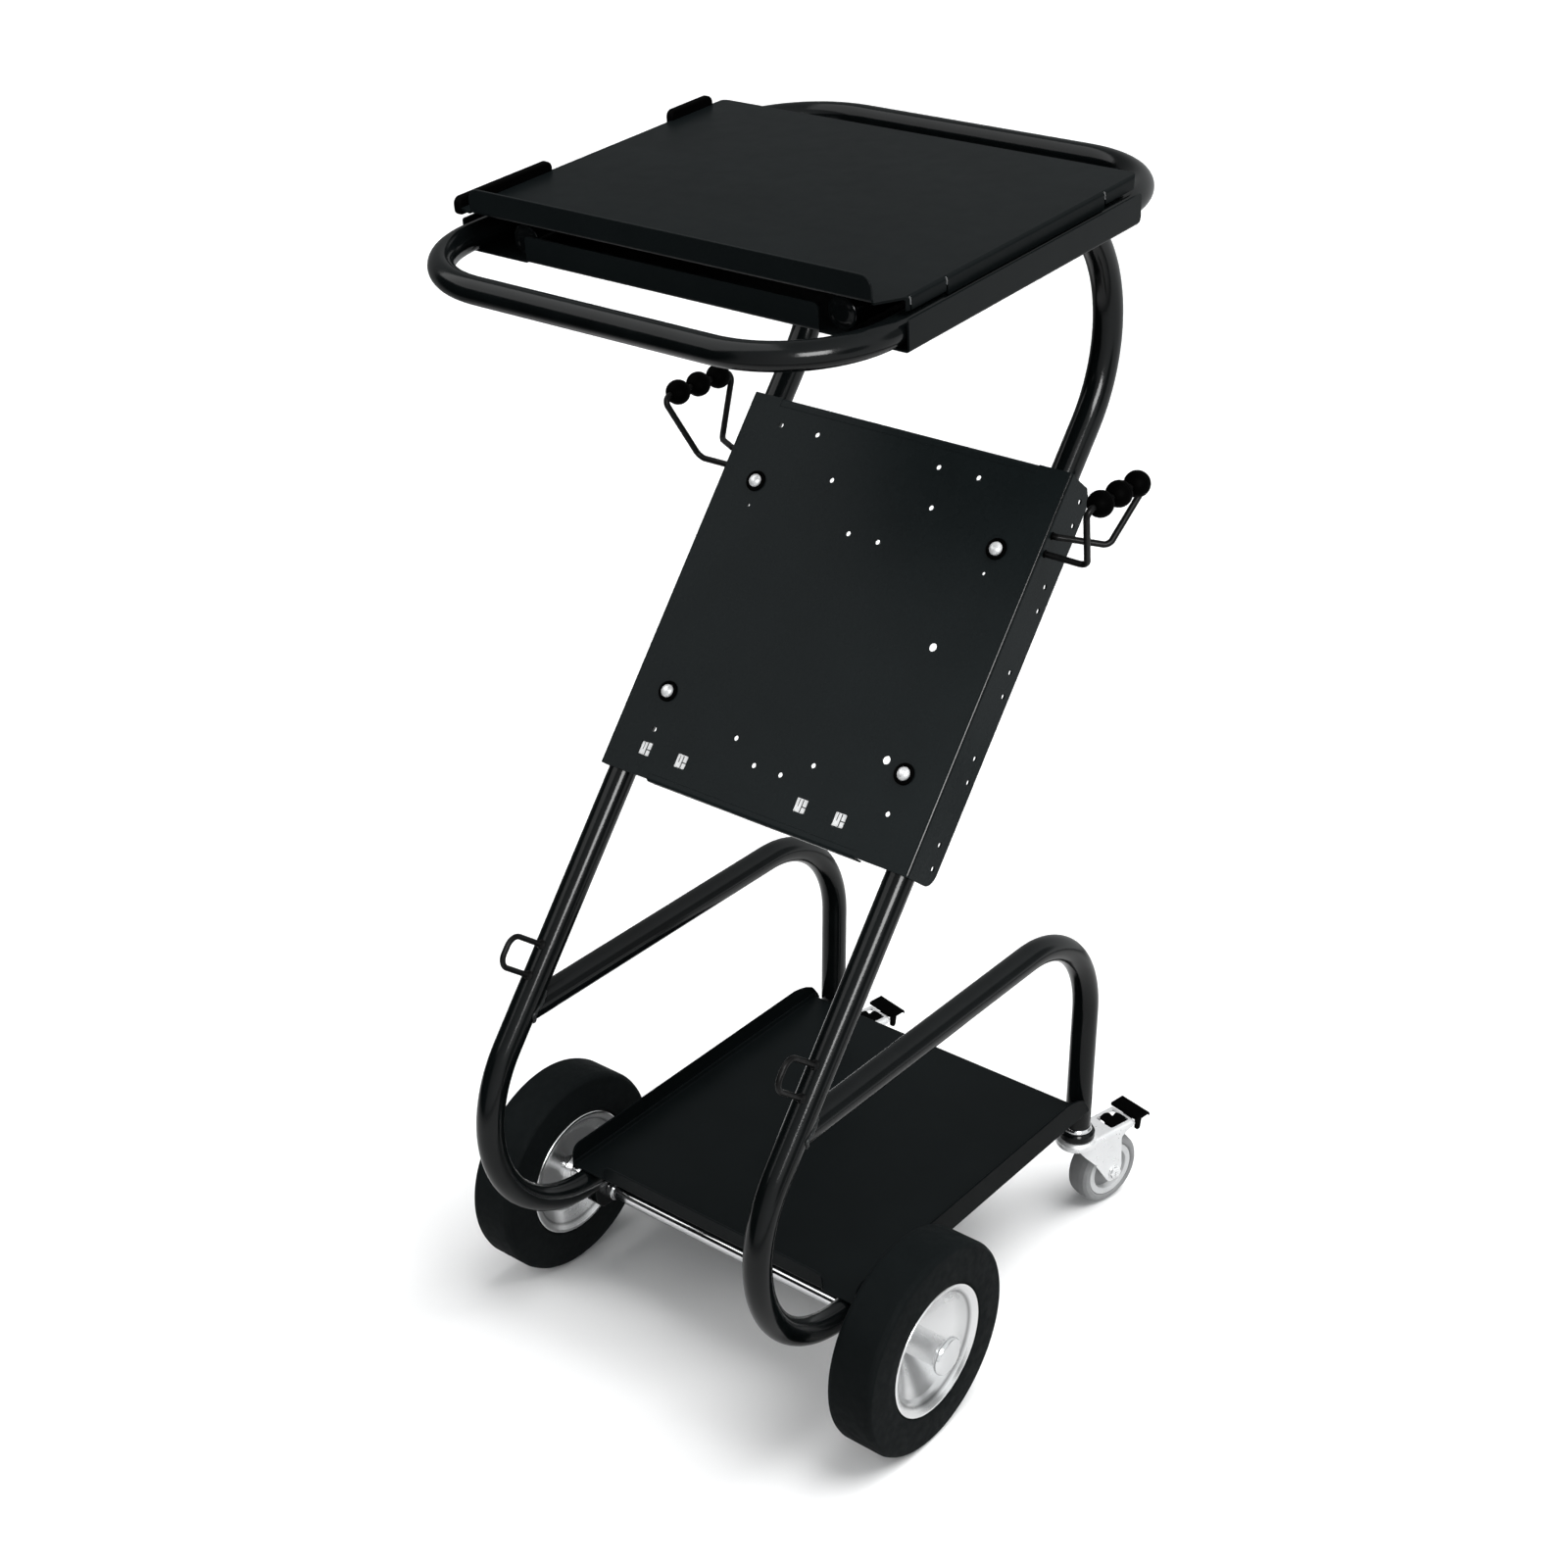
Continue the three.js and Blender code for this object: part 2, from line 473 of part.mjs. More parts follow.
// ---------------------------------------------------------------- bottle tray
{
  const z0 = TRAY_FLOOR, z1 = TRAY_FLOOR + SHEET;
  const inX = TRAY_X - SHEET;
  const floor = new THREE.Shape([
    V2(-TRAY_X, TRAY_NEAR), V2(TRAY_X, TRAY_NEAR), V2(TRAY_X, TRAY_FAR), V2(-TRAY_X, TRAY_FAR),
  ]);
  const deck = plate(floor, SHEET);
  deck.translate(0, 0, z0);
  let m = solid(deck);
  for (const k of [-1, 1]) {
    const lip = plate(new THREE.Shape([
      V2(TRAY_NEAR + 3, TRAY_WALL_LOW), V2(TRAY_WALL_FAR, TRAY_WALL_LOW), V2(TRAY_WALL_FAR - 1, TRAY_WALL_LOW + 2.6), V2(-10.5, 139), V2(-17.2, 147.6), V2(-27, 152.6), V2(-37, 155.6), V2(-47, TRAY_LIP_TOP),
      V2(TRAY_NEAR + 8, TRAY_LIP_TOP), V2(TRAY_NEAR + 2.2, TRAY_LIP_TOP - 2.4), V2(TRAY_NEAR, TRAY_LIP_TOP - 8), V2(TRAY_NEAR, TRAY_WALL_LOW + 3),
    ]), SHEET);
    lip.rotateX(Math.PI / 2);
    lip.rotateZ(Math.PI / 2);
    lip.translate(k > 0 ? inX : -TRAY_X, 0, 0);
    m = join(m, solid(lip));
  }
  const near = plate(roundRect(-128, 128, z0, z1 + 14, [0, 0, 8, 8]), SHEET);
  near.rotateX(Math.PI / 2);
  near.translate(0, TRAY_NEAR + SHEET, 0);
  m = join(m, solid(near));
  add('bottle_tray', m, 'sheet');
}

// ---------------------------------------------------------------- axle, brackets and large wheels
const axleZ = WHEEL_R;
add('axle', bar(V3(-WHEEL_X - 33, WHEEL_Y, axleZ), V3(WHEEL_X + 33, WHEEL_Y, axleZ), AXLE_R, 16), 'chrome');
for (const [side, k] of sidesOf) {
  // bracket: block under the lower run with a hole for the axle
  const x0 = FRAME_X - 6, x1 = FRAME_X + 8;
  const shape = new THREE.Shape([
    V2(WHEEL_Y - 24, LOW_RUN_Z - 4), V2(WHEEL_Y - 20, axleZ - 8), V2(WHEEL_Y - 12, axleZ - 15), V2(WHEEL_Y + 12, axleZ - 15),
    V2(WHEEL_Y + 20, axleZ - 8), V2(WHEEL_Y + 24, LOW_RUN_Z - 4),
  ]);
  const body = plate(shape, x1 - x0);
  body.rotateX(Math.PI / 2);
  body.rotateZ(Math.PI / 2);
  body.translate(k > 0 ? x0 : -x1, 0, 0);
  const b = cut(solid(body),
    solid(bar(V3(k * FRAME_X, WHEEL_Y - 60, LOW_RUN_Z), V3(k * FRAME_X, WHEEL_Y + 60, LOW_RUN_Z), CLEAR_R, SIDES)),
    solid(sweep(uprightStations(k * FRAME_X), CLEAR_R, SIDES)),
    solid(bar(V3(k * (x0 - 5), WHEEL_Y, axleZ), V3(k * (x1 + 5), WHEEL_Y, axleZ), AXLE_R + GAP, 16)));
  add(`${side}_axle_bracket`, b, 'tube');

  const collar = turned([[AXLE_R + GAP, -3.2], [9.7, -3.2], [9.7, 3.2], [AXLE_R + GAP, 3.2], [AXLE_R + GAP, -3.2]], 'x', 16);
  collar.translate(k * (x0 - 3.5), WHEEL_Y, axleZ);
  add(`${side}_axle_collar`, collar, 'chrome');

  const h = WHEEL_HALF;
  const rim = turned([
    [AXLE_R + GAP + 0.1, -h + 2], [13.5, -h + 2], [13.5, -h + 10], [45, -h + 10], [59.6, -h], [62.4, -h], [62.4, -h + 2.2],
    [55.8, -h + 6.4], [55.8, h - 6.4], [62.4, h - 2.2], [62.4, h], [60, h], [51.6, h - 7], [49.2, h - 10],
    [17.5, -h + 13.2], [13.5, -h + 16.5], [13.5, h + 6.4], [AXLE_R + GAP + 0.1, h + 6.4], [AXLE_R + GAP + 0.1, -h + 2],
  ], 'x', WHEEL_FACETS);
  if (k < 0) rim.applyMatrix4(new THREE.Matrix4().makeScale(-1, 1, 1));
  rim.translate(k * WHEEL_X, WHEEL_Y, axleZ);
  add(`${side}_wheel_rim`, rim, 'zinc');

  const R = WHEEL_R;
  const tyre = turned([
    [56.2, -h + 6.8], [62.9, -h + 2.6], [64.2, -h + 0.2], [75, -h - 0.4], [96.6, -h + 0.6], [99.3, -h + 2.7], [R, -h + 6],
    [R, h - 6], [99.3, h - 2.7], [96.6, h - 0.6], [75, h + 0.4], [64.2, h - 0.2], [62.9, h - 2.6], [56.2, h - 6.8], [56.2, -h + 6.8],
  ], 'x', WHEEL_FACETS);
  tyre.translate(k * WHEEL_X, WHEEL_Y, axleZ);
  add(`${side}_wheel_tyre`, tyre, 'tyre');

  const c0 = h + 6.8;
  const cap = turned([[0, c0 + 3], [AXLE_R + GAP, c0 + 3], [AXLE_R + GAP, c0], [18, c0], [18, c0 + 3.2], [16, c0 + 5.6], [10, c0 + 7.2], [0, c0 + 7.8]], 'x', 18);
  if (k < 0) cap.applyMatrix4(new THREE.Matrix4().makeScale(-1, 1, 1));
  cap.translate(k * WHEEL_X, WHEEL_Y, axleZ);
  add(`${side}_wheel_cap`, cap, 'chrome');
}

// ---------------------------------------------------------------- swivel casters
for (const [side, k] of sidesOf) {
  const place = new THREE.Matrix4().makeRotationZ(CASTER_TURN).setPosition(k * FRAME_X, 0, 0);
  const put = (name, g, look) => {
    const q = g instanceof THREE.BufferGeometry ? clean(g) : geometry(g);
    q.applyMatrix4(place);
    add(`${side}_caster_${name}`, q, look);
  };
  const T = CASTER_TRAIL, R = CASTER_R, H = CASTER_HALF;
  // fixed bearing cup with its bright collar, under the post
  put('cup', turned([[0, 91.3], [17.4, 91.3], [17.4, 98.2], [15.8, 100.2], [0, 100.2]], 'z', 16), 'plastic');
  put('collar', turned([[0, 100.5], [14.8, 100.5], [14.8, 102.6], [13.4, POST_BOTTOM - GAP], [0, POST_BOTTOM - GAP]], 'z', 16), 'chrome');

  // fork: round swivel head, sloped web with a slot for the brake arm, two cheeks
  const inC = 14.6, outC = 17.2;
  const cheek = new THREE.Shape([
    V2(-10, 88), V2(-11, 83), V2(-3, 73.5), V2(11, 59), V2(T - 14, 38), V2(T - 7, 29.6), V2(T, 27.6), V2(T + 6, 30), V2(T + 10.2, 41), V2(T + 8.6, 62), V2(T + 7.6, 76), V2(T + 13, 80), V2(T + 25.6, 84.6), V2(T + 25.6, 88),
  ]);
  const cheekAt = (x) => {
    const g = plate(cheek, outC - inC);
    g.rotateX(Math.PI / 2);
    g.rotateZ(Math.PI / 2);
    g.translate(x, 0, 0);
    return solid(g);
  };
  let fork = join(
    solid(turned([[0, 82], [19.8, 82], [20.6, 84], [20.6, 88.5], [19, 91], [0, 91]], 'z', 16)),
    solid(box(-outC, outC, -14, T + 25.6, 85.4, 88)),
    cheekAt(inC), cheekAt(-outC));
  fork = cut(fork,
    solid(box(-11, 11, T - 1.8, T + 23, 80, 92)),
    solid(bar(V3(-30, T, R), V3(30, T, R), 4.5, 10)));
  put('fork', fork, 'zinc');

  put('axle_bolt', turned([[0, -20.6], [4.6, -20.6], [6.2, -19.6], [6.2, -outC - GAP], [4, -outC - GAP], [4, outC + GAP], [6.2, outC + GAP], [6.2, 20.6], [4.4, 21.8], [0, 21.8]], 'x', 10).translate(0, T, R), 'zinc');
  put('hub', turned([[4.5, -12.2], [9, -12.2], [9, -5], [20.6, -5], [21.8, -11.6], [28, -11.6], [28, 11.6], [21.8, 11.6], [20.6, 5], [9, 5], [9, 12.2], [4.5, 12.2], [4.5, -12.2]], 'x', CASTER_FACETS).translate(0, T, R), 'greyHub');
  put('tyre', turned([[28.3, -12], [30.4, -H], [34.2, -H + 0.6], [36.6, -H + 3.4], [R, -4], [R, 4], [36.6, H - 3.4], [34.2, H - 0.6], [30.4, H], [28.3, 12], [28.3, -12]], 'x', CASTER_FACETS).translate(0, T, R), 'greyTyre');

  // brake pedal: shaped thumb piece over the web, an arm through the slot and under the web, and a foot plate behind the fork
  const thumb = plate(new THREE.Shape([
    V2(10.2, T), V2(10.6, T + 7), V2(9.8, T + 13), V2(8.2, T + 21.6), V2(-5, T + 21.2), V2(-1.8, T + 12.8), V2(-8.8, T + 14), V2(-10.4, T + 8.6), V2(-8, T + 0.6),
  ]), 2.2);
  thumb.translate(0, 0, 87.4);
  const arm = new THREE.Shape([V2(T + 0.5, 82), V2(T + 8, 79.5), V2(T + 14, 79.8), V2(T + 31, 81.6), V2(T + 31, 88.6), V2(T + 26.6, 88.6), V2(T + 26.6, 84.6), V2(T + 20.4, 84.6), V2(T + 20.4, 88.4), V2(T + 0.8, 88.4)]);
  const armG = plate(arm, 9.4);
  armG.rotateX(Math.PI / 2);
  armG.rotateZ(Math.PI / 2);
  armG.translate(-1.2, 0, 0);
  const foot = new THREE.Shape([V2(T + 26.2, 87.4), V2(T + 42, 89.6), V2(T + 43.8, 87.4), V2(T + 45.4, 88.6), V2(T + 43, 92.6), V2(T + 26.2, 91.2)]);
  const footG = plate(foot, 36);
  footG.rotateX(Math.PI / 2);
  footG.rotateZ(Math.PI / 2);
  footG.translate(-17.5, 0, 0);
  const drop = box(15.4, 18.5, T + 26.4, T + 33.4, 77, 90);
  put('pedal', join(solid(thumb), solid(armG), solid(footG), solid(drop)), 'plastic');
}

// ---------------------------------------------------------------- assembly, origin under the middle of the box
const group = new THREE.Group();
group.name = 'welding_cart';
const bounds = new THREE.Box3();
for (const m of pieces) {
  m.geometry.computeBoundingBox();
  bounds.union(m.geometry.boundingBox);
}
const shift = V3(-(bounds.min.x + bounds.max.x) / 2, -(bounds.min.y + bounds.max.y) / 2, -bounds.min.z);
for (const m of pieces) {
  m.geometry.translate(shift.x, shift.y, shift.z);
  m.geometry.computeVertexNormals();
  group.add(m);
}

export default group;
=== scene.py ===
import math

import bmesh
import bpy
from mathutils import Matrix, Vector


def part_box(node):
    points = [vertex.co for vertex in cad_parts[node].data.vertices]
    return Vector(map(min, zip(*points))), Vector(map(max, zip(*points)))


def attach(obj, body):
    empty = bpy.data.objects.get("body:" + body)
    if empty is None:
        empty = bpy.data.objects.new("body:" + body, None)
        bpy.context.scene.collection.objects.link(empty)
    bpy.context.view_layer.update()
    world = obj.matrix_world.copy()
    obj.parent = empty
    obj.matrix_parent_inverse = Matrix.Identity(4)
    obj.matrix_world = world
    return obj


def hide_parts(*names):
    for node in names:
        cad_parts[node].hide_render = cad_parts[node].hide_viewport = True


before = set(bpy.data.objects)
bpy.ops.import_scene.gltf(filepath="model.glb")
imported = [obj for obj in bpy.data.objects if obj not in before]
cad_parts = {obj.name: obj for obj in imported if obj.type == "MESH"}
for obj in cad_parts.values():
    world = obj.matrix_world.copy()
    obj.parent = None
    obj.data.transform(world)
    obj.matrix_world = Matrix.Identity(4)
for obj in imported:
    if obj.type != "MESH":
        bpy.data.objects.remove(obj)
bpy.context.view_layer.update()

# Welding cart: bent tube frame, folded sheet shelf, panel and tray, wire hooks, two large wheels and two braked casters.
# Lengths below are millimetres in the layout the part was drawn in; W() and its relatives give metres in the row frame.

scene = bpy.context.scene
MM = 0.001
_lo, _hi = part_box("left_caster_cup")
SHIFT = (_lo.y + _hi.y) / 2 / MM
SIDES_OF = (("left", -1), ("right", 1))

LEAN = math.radians(51.78)
TILT = math.radians(4.745)
TURN = -0.2295
FRAME_X = 150.5
UPRIGHT_Z = 928.0
SHELF_Z = 1053.4
TUBE_R = 12.5
SHEET = 2.5
SKIN = 1.8


def W(x, y, z):
    return Vector((x, y + SHIFT, z)) * MM


def raw(x, y, z):
    return Vector((x, y, z))


def lean_raw(x, s, n):
    return Vector((x, s * math.cos(LEAN) - n * math.sin(LEAN), UPRIGHT_Z + s * math.sin(LEAN) + n * math.cos(LEAN)))


def shelf_raw(x, v, w):
    return Vector((x, v * math.cos(TILT) - w * math.sin(TILT), SHELF_Z + v * math.sin(TILT) + w * math.cos(TILT)))


def on_lean(x, s, n):
    return W(*lean_raw(x, s, n))


def on_shelf(x, v, w):
    return W(*shelf_raw(x, v, w))


def caster_at(k):
    c, s = math.cos(TURN), math.sin(TURN)
    return lambda ax, t, z: W(k * FRAME_X + ax * c - t * s, ax * s + t * c, z)


# ------------------------------------------------------------------ mesh helpers
class Shape:
    """Vertices and faces collected in one local layout and placed by its function."""

    def __init__(self, at=W):
        self.at, self.v, self.f = at, [], []

    def put(self, points, faces):
        base = len(self.v)
        self.v += [self.at(*p) for p in points]
        self.f += [[base + i for i in f] for f in faces]
        return self


def fillet(points, radii, turn=math.radians(5)):
    """Polyline in space with its inner corners rounded."""
    pts = [Vector(p) for p in points]
    if not isinstance(radii, (list, tuple)):
        radii = [radii] * (len(pts) - 2)
    out = [pts[0]]
    for i in range(1, len(pts) - 1):
        p = pts[i]
        a, b = (pts[i - 1] - p), (pts[i + 1] - p)
        la, lb = a.length, b.length
        a, b = a / la, b / lb
        ang = a.angle(b)
        if math.pi - ang < 1e-4 or radii[i - 1] <= 0:
            out.append(p)
            continue
        room = min(la * (1.0 if i == 1 else 0.499), lb * (1.0 if i == len(pts) - 2 else 0.499))
        r = min(radii[i - 1], room * math.tan(ang / 2))
        c = p + (a + b).normalized() * (r / math.sin(ang / 2))
        u = p + a * (r / math.tan(ang / 2)) - c
        w = p + b * (r / math.tan(ang / 2)) - c
        sweep = math.pi - ang
        n = max(2, math.ceil(sweep / turn))
        axis = u.cross(w).normalized()
        for j in range(n + 1):
            q = c + Matrix.Rotation(sweep * j / n, 3, axis) @ u
            if (q - out[-1]).length > 1e-5:
                out.append(q)
    if (pts[-1] - out[-1]).length > 1e-5:
        out.append(pts[-1])
    return out


def tube(sh, path, r, sides=40, start=None, end=None, closed=False):
    """Round tube along a path; r is a number or a list. start and end are lists of (forward, radius) rings that close it."""
    n = len(path)
    rs = r if isinstance(r, list) else [r] * n
    seg = [(path[(i + 1) % n] - path[i]).normalized() for i in range(n if closed else n - 1)]
    tang = []
    for i in range(n):
        if closed:
            tang.append((seg[i - 1] + seg[i]).normalized())
        else:
            tang.append(seg[0] if i == 0 else seg[-1] if i == n - 1 else (seg[i - 1] + seg[i]).normalized())
    ref = Vector((1, 0, 0)) if abs(tang[0].x) < 0.8 else Vector((0, 0, 1))
    nor = (ref - tang[0] * ref.dot(tang[0])).normalized()
    frames = []
    for t in tang:
        nor = (nor - t * nor.dot(t)).normalized()
        frames.append((t, nor.copy(), t.cross(nor)))
    rings = []
    for i in range(n):
        rings.append((path[i], frames[i], rs[i]))
    if not closed:
        head = [(path[0] - frames[0][0] * d, frames[0], k) for d, k in (start or [(0, 0)])]
        tail = [(path[-1] + frames[-1][0] * d, frames[-1], k) for d, k in (end or [(0, 0)])]
        rings = head[::-1] + rings + tail
    pts, faces, index = [], [], []
    for c, (t, a, b), k in rings:
        if k < 1e-6:
            index.append([len(pts)] * sides)
            pts.append(tuple(c))
        else:
            index.append(list(range(len(pts), len(pts) + sides)))
            for j in range(sides):
                th = 2 * math.pi * j / sides
                pts.append(tuple(c + a * (k * math.cos(th)) + b * (k * math.sin(th))))
    m = len(index)
    for i in range(m if closed else m - 1):
        p, q = index[i], index[(i + 1) % m]
        for j in range(sides):
            e = (j + 1) % sides
            f = [p[j], p[e], q[e], q[j]]
            f = [x for z, x in enumerate(f) if x not in f[:z]]
            if len(f) > 2:
                faces.append(f)
    old = sh.at
    sh.at = W
    sh.put(pts, faces)
    sh.at = old
    return sh


def soft(profile, r, turn=math.radians(15)):
    """Turned profile with its corners rounded."""
    return [(p.x, p.y) for p in fillet([(a, b, 0) for a, b in profile], r, turn)]


def lathe(sh, profile, origin=(0, 0, 0), axis=0, seg=96, flip=1, twist=0.0):
    """Surface of revolution. profile holds (radius, along) pairs; axis is the local axis it turns about."""
    pts, faces, index = [], [], []
    for r, a in profile:
        if r < 1e-6:
            index.append([len(pts)] * seg)
            ring = [(0.0, 0.0)]
        else:
            index.append(list(range(len(pts), len(pts) + seg)))
            ring = [(r * math.cos(2 * math.pi * j / seg + twist), r * math.sin(2 * math.pi * j / seg + twist)) for j in range(seg)]
        for c, s in ring:
            p = [0.0, 0.0, 0.0]
            p[axis] = a * flip
            p[(axis + 1) % 3] = c
            p[(axis + 2) % 3] = s
            pts.append(tuple(p[i] + origin[i] for i in range(3)))
    for i in range(len(index) - 1):
        p, q = index[i], index[i + 1]
        for j in range(seg):
            e = (j + 1) % seg
            f = [p[j], p[e], q[e], q[j]]
            f = [x for z, x in enumerate(f) if x not in f[:z]]
            if len(f) > 2:
                faces.append(f)
    return sh.put(pts, faces)


def order(axis, p, q, c):
    """Local triple from section coordinates p, q and the coordinate c along the axis."""
    if axis == 0:
        return (c, p, q)
    if axis == 1:
        return (p, c, q)
    return (p, q, c)


def bent(sh, corners, c0, c1, axis, side, r=3.0, t=SKIN, steps=1):
    """Folded sheet: its outer skin follows corners in section, and it runs from c0 to c1 along the axis."""
    path = fillet([(p, q, 0) for p, q in corners], r, math.radians(9))
    n = len(path)
    left = []
    for i in range(n):
        a = (path[i] - path[i - 1]).normalized() if i else None
        b = (path[i + 1] - path[i]).normalized() if i < n - 1 else None
        d = (a + b).normalized() if a and b else (a or b)
        # the half-angle correction keeps the sheet thickness even round the bends
        k = 1 / max(0.5, math.cos((a.angle(b) / 2) if a and b else 0))
        left.append(Vector((-d.y, d.x, 0)) * (side * t * k))
    outer = [(p.x, p.y) for p in path]
    inner = [((p + o).x, (p + o).y) for p, o in zip(path, left)]
    pts, faces = [], []
    for i in range(steps + 1):
        c = c0 + (c1 - c0) * i / steps
        pts += [order(axis, p, q, c) for p, q in outer] + [order(axis, p, q, c) for p, q in inner]
    m = 2 * n
    for s in range(steps):
        a, b = s * m, (s + 1) * m
        for i in range(n - 1):
            faces.append([a + i, a + i + 1, b + i + 1, b + i])
            faces.append([a + n + i, b + n + i, b + n + i + 1, a + n + i + 1])
        faces.append([a, b, b + n, a + n])
        faces.append([a + n - 1, a + m - 1, b + m - 1, b + n - 1])
    for a in (0, steps * m):
        for i in range(n - 1):
            faces.append([a + i, a + n + i, a + n + i + 1, a + i + 1])
    return sh.put(pts, faces)


def prism(sh, outline, c0, c1, axis):
    n = len(outline)
    pts = [order(axis, p, q, c) for c in (c0, c1) for p, q in outline]
    faces = [list(range(n)), list(range(2 * n - 1, n - 1, -1))] + [[i, n + i, n + (i + 1) % n, (i + 1) % n] for i in range(n)]
    return sh.put(pts, faces)


def block(sh, x0, x1, y0, y1, z0, z1):
    return prism(sh, [(x0, y0), (x1, y0), (x1, y1), (x0, y1)], z0, z1, 2)


def rod(sh, p, q, r, c0, c1, axis, seg=20):
    """Straight round cutter or pin, centred on p, q in section."""
    return prism(sh, [(p + r * math.cos(2 * math.pi * i / seg), q + r * math.sin(2 * math.pi * i / seg)) for i in range(seg)], c0, c1, axis)


def corner(sh, cx, cy, r, sx, sy, c0, c1, axis, over=4.0):
    """Cutter that rounds a corner: centre of the arc, radius, and the signs that point out to the corner."""
    arc = [(cx + sx * r * math.cos(a), cy + sy * r * math.sin(a)) for a in [math.pi / 2 * i / 8 for i in range(9)]]
    far = r + over
    outline = arc + [(cx, cy + sy * far), (cx + sx * far, cy + sy * far), (cx + sx * far, cy)]
    return prism(sh, outline, c0, c1, axis)


def round_outline(points, r, turn=math.radians(12)):
    """Closed outline with every corner rounded."""
    n = len(points)
    rs = r if isinstance(r, (list, tuple)) else [r] * n
    out = []
    for i in range(n):
        p = Vector((*points[i], 0))
        a = Vector((*points[i - 1], 0)) - p
        b = Vector((*points[(i + 1) % n], 0)) - p
        lim = 0.49 * min(a.length, b.length)
        a.normalize()
        b.normalize()
        ang = a.angle(b)
        if rs[i] <= 0 or math.pi - ang < 1e-3:
            out.append((p.x, p.y))
            continue
        rr = min(rs[i], lim * math.tan(ang / 2))
        c = p + (a + b).normalized() * (rr / math.sin(ang / 2))
        u = p + a * (rr / math.tan(ang / 2)) - c
        w = p + b * (rr / math.tan(ang / 2)) - c
        ax = u.cross(w).normalized()
        sweep = math.pi - ang
        m = max(2, math.ceil(sweep / turn))
        for j in range(m + 1):
            q = c + Matrix.Rotation(sweep * j / m, 3, ax) @ u
            out.append((q.x, q.y))
    return out


def mesh_of(name, sh):
    bm = bmesh.new()
    vs = [bm.verts.new(p) for p in sh.v]
    for f in sh.f:
        try:
            bm.faces.new([vs[i] for i in f])
        except ValueError:
            pass
    bmesh.ops.remove_doubles(bm, verts=bm.verts, dist=2e-7)
    bmesh.ops.dissolve_degenerate(bm, edges=bm.edges, dist=1e-7)
    bmesh.ops.recalc_face_normals(bm, faces=bm.faces)
    me = bpy.data.meshes.new(name)
    bm.to_mesh(me)
    bm.free()
    return me


def settle(ob):
    """Applies the modifiers to the mesh."""
    dg = bpy.context.evaluated_depsgraph_get()
    me = bpy.data.meshes.new_from_object(ob.evaluated_get(dg))
    ob.modifiers.clear()
    old = ob.data
    ob.data = me
    bpy.data.meshes.remove(old)


def combine(ob, shapes, how):
    for sh in shapes:
        cutter = bpy.data.objects.new("tool", mesh_of("tool", sh))
        scene.collection.objects.link(cutter)
        m = ob.modifiers.new("b", "BOOLEAN")
        m.operation, m.solver, m.object = how, "EXACT", cutter
        m.use_self = how == "DIFFERENCE"
        settle(ob)
        data = cutter.data
        bpy.data.objects.remove(cutter)
        bpy.data.meshes.remove(data)


def piece(name, sh, mat, body="cart", nodes=(), cut=(), within=(), join=(), bevel=0.0, seg=2, sharp=38.0, flat=False):
    """Makes the shown object, rounds its edges, gives it its material and hangs it on its body."""
    ob = bpy.data.objects.new(name, mesh_of(name, sh))
    scene.collection.objects.link(ob)
    if within:
        combine(ob, within, "INTERSECT")
    if join:
        combine(ob, join, "UNION")
    if cut:
        combine(ob, cut, "DIFFERENCE")
    if bevel:
        m = ob.modifiers.new("edge", "BEVEL")
        m.width, m.segments, m.limit_method, m.angle_limit = bevel * MM, seg, "ANGLE", math.radians(34)
        m.use_clamp_overlap = True
        m.miter_outer = "MITER_ARC"
        settle(ob)
    ob.name = ob.data.name = name
    ob.data.shade_smooth()
    if bevel and not flat:
        ob.data.set_sharp_from_angle(angle=math.radians(60))
        bm = bmesh.new()
        bm.from_mesh(ob.data)
        for f in bm.faces:
            if f.calc_area() > 6e-4:
                for e in f.edges:
                    if len(e.link_faces) == 2 and e.calc_face_angle(0.0) > 0.01:
                        e.smooth = False
        bm.to_mesh(ob.data)
        bm.free()
        m = ob.modifiers.new("shade", "WEIGHTED_NORMAL")
        m.weight, m.keep_sharp = 80, True
    else:
        ob.data.set_sharp_from_angle(angle=math.radians(sharp))
    ob.data.materials.clear()
    ob.data.materials.append(mat)
    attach(ob, body)
    if nodes:
        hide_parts(*nodes)
    return ob


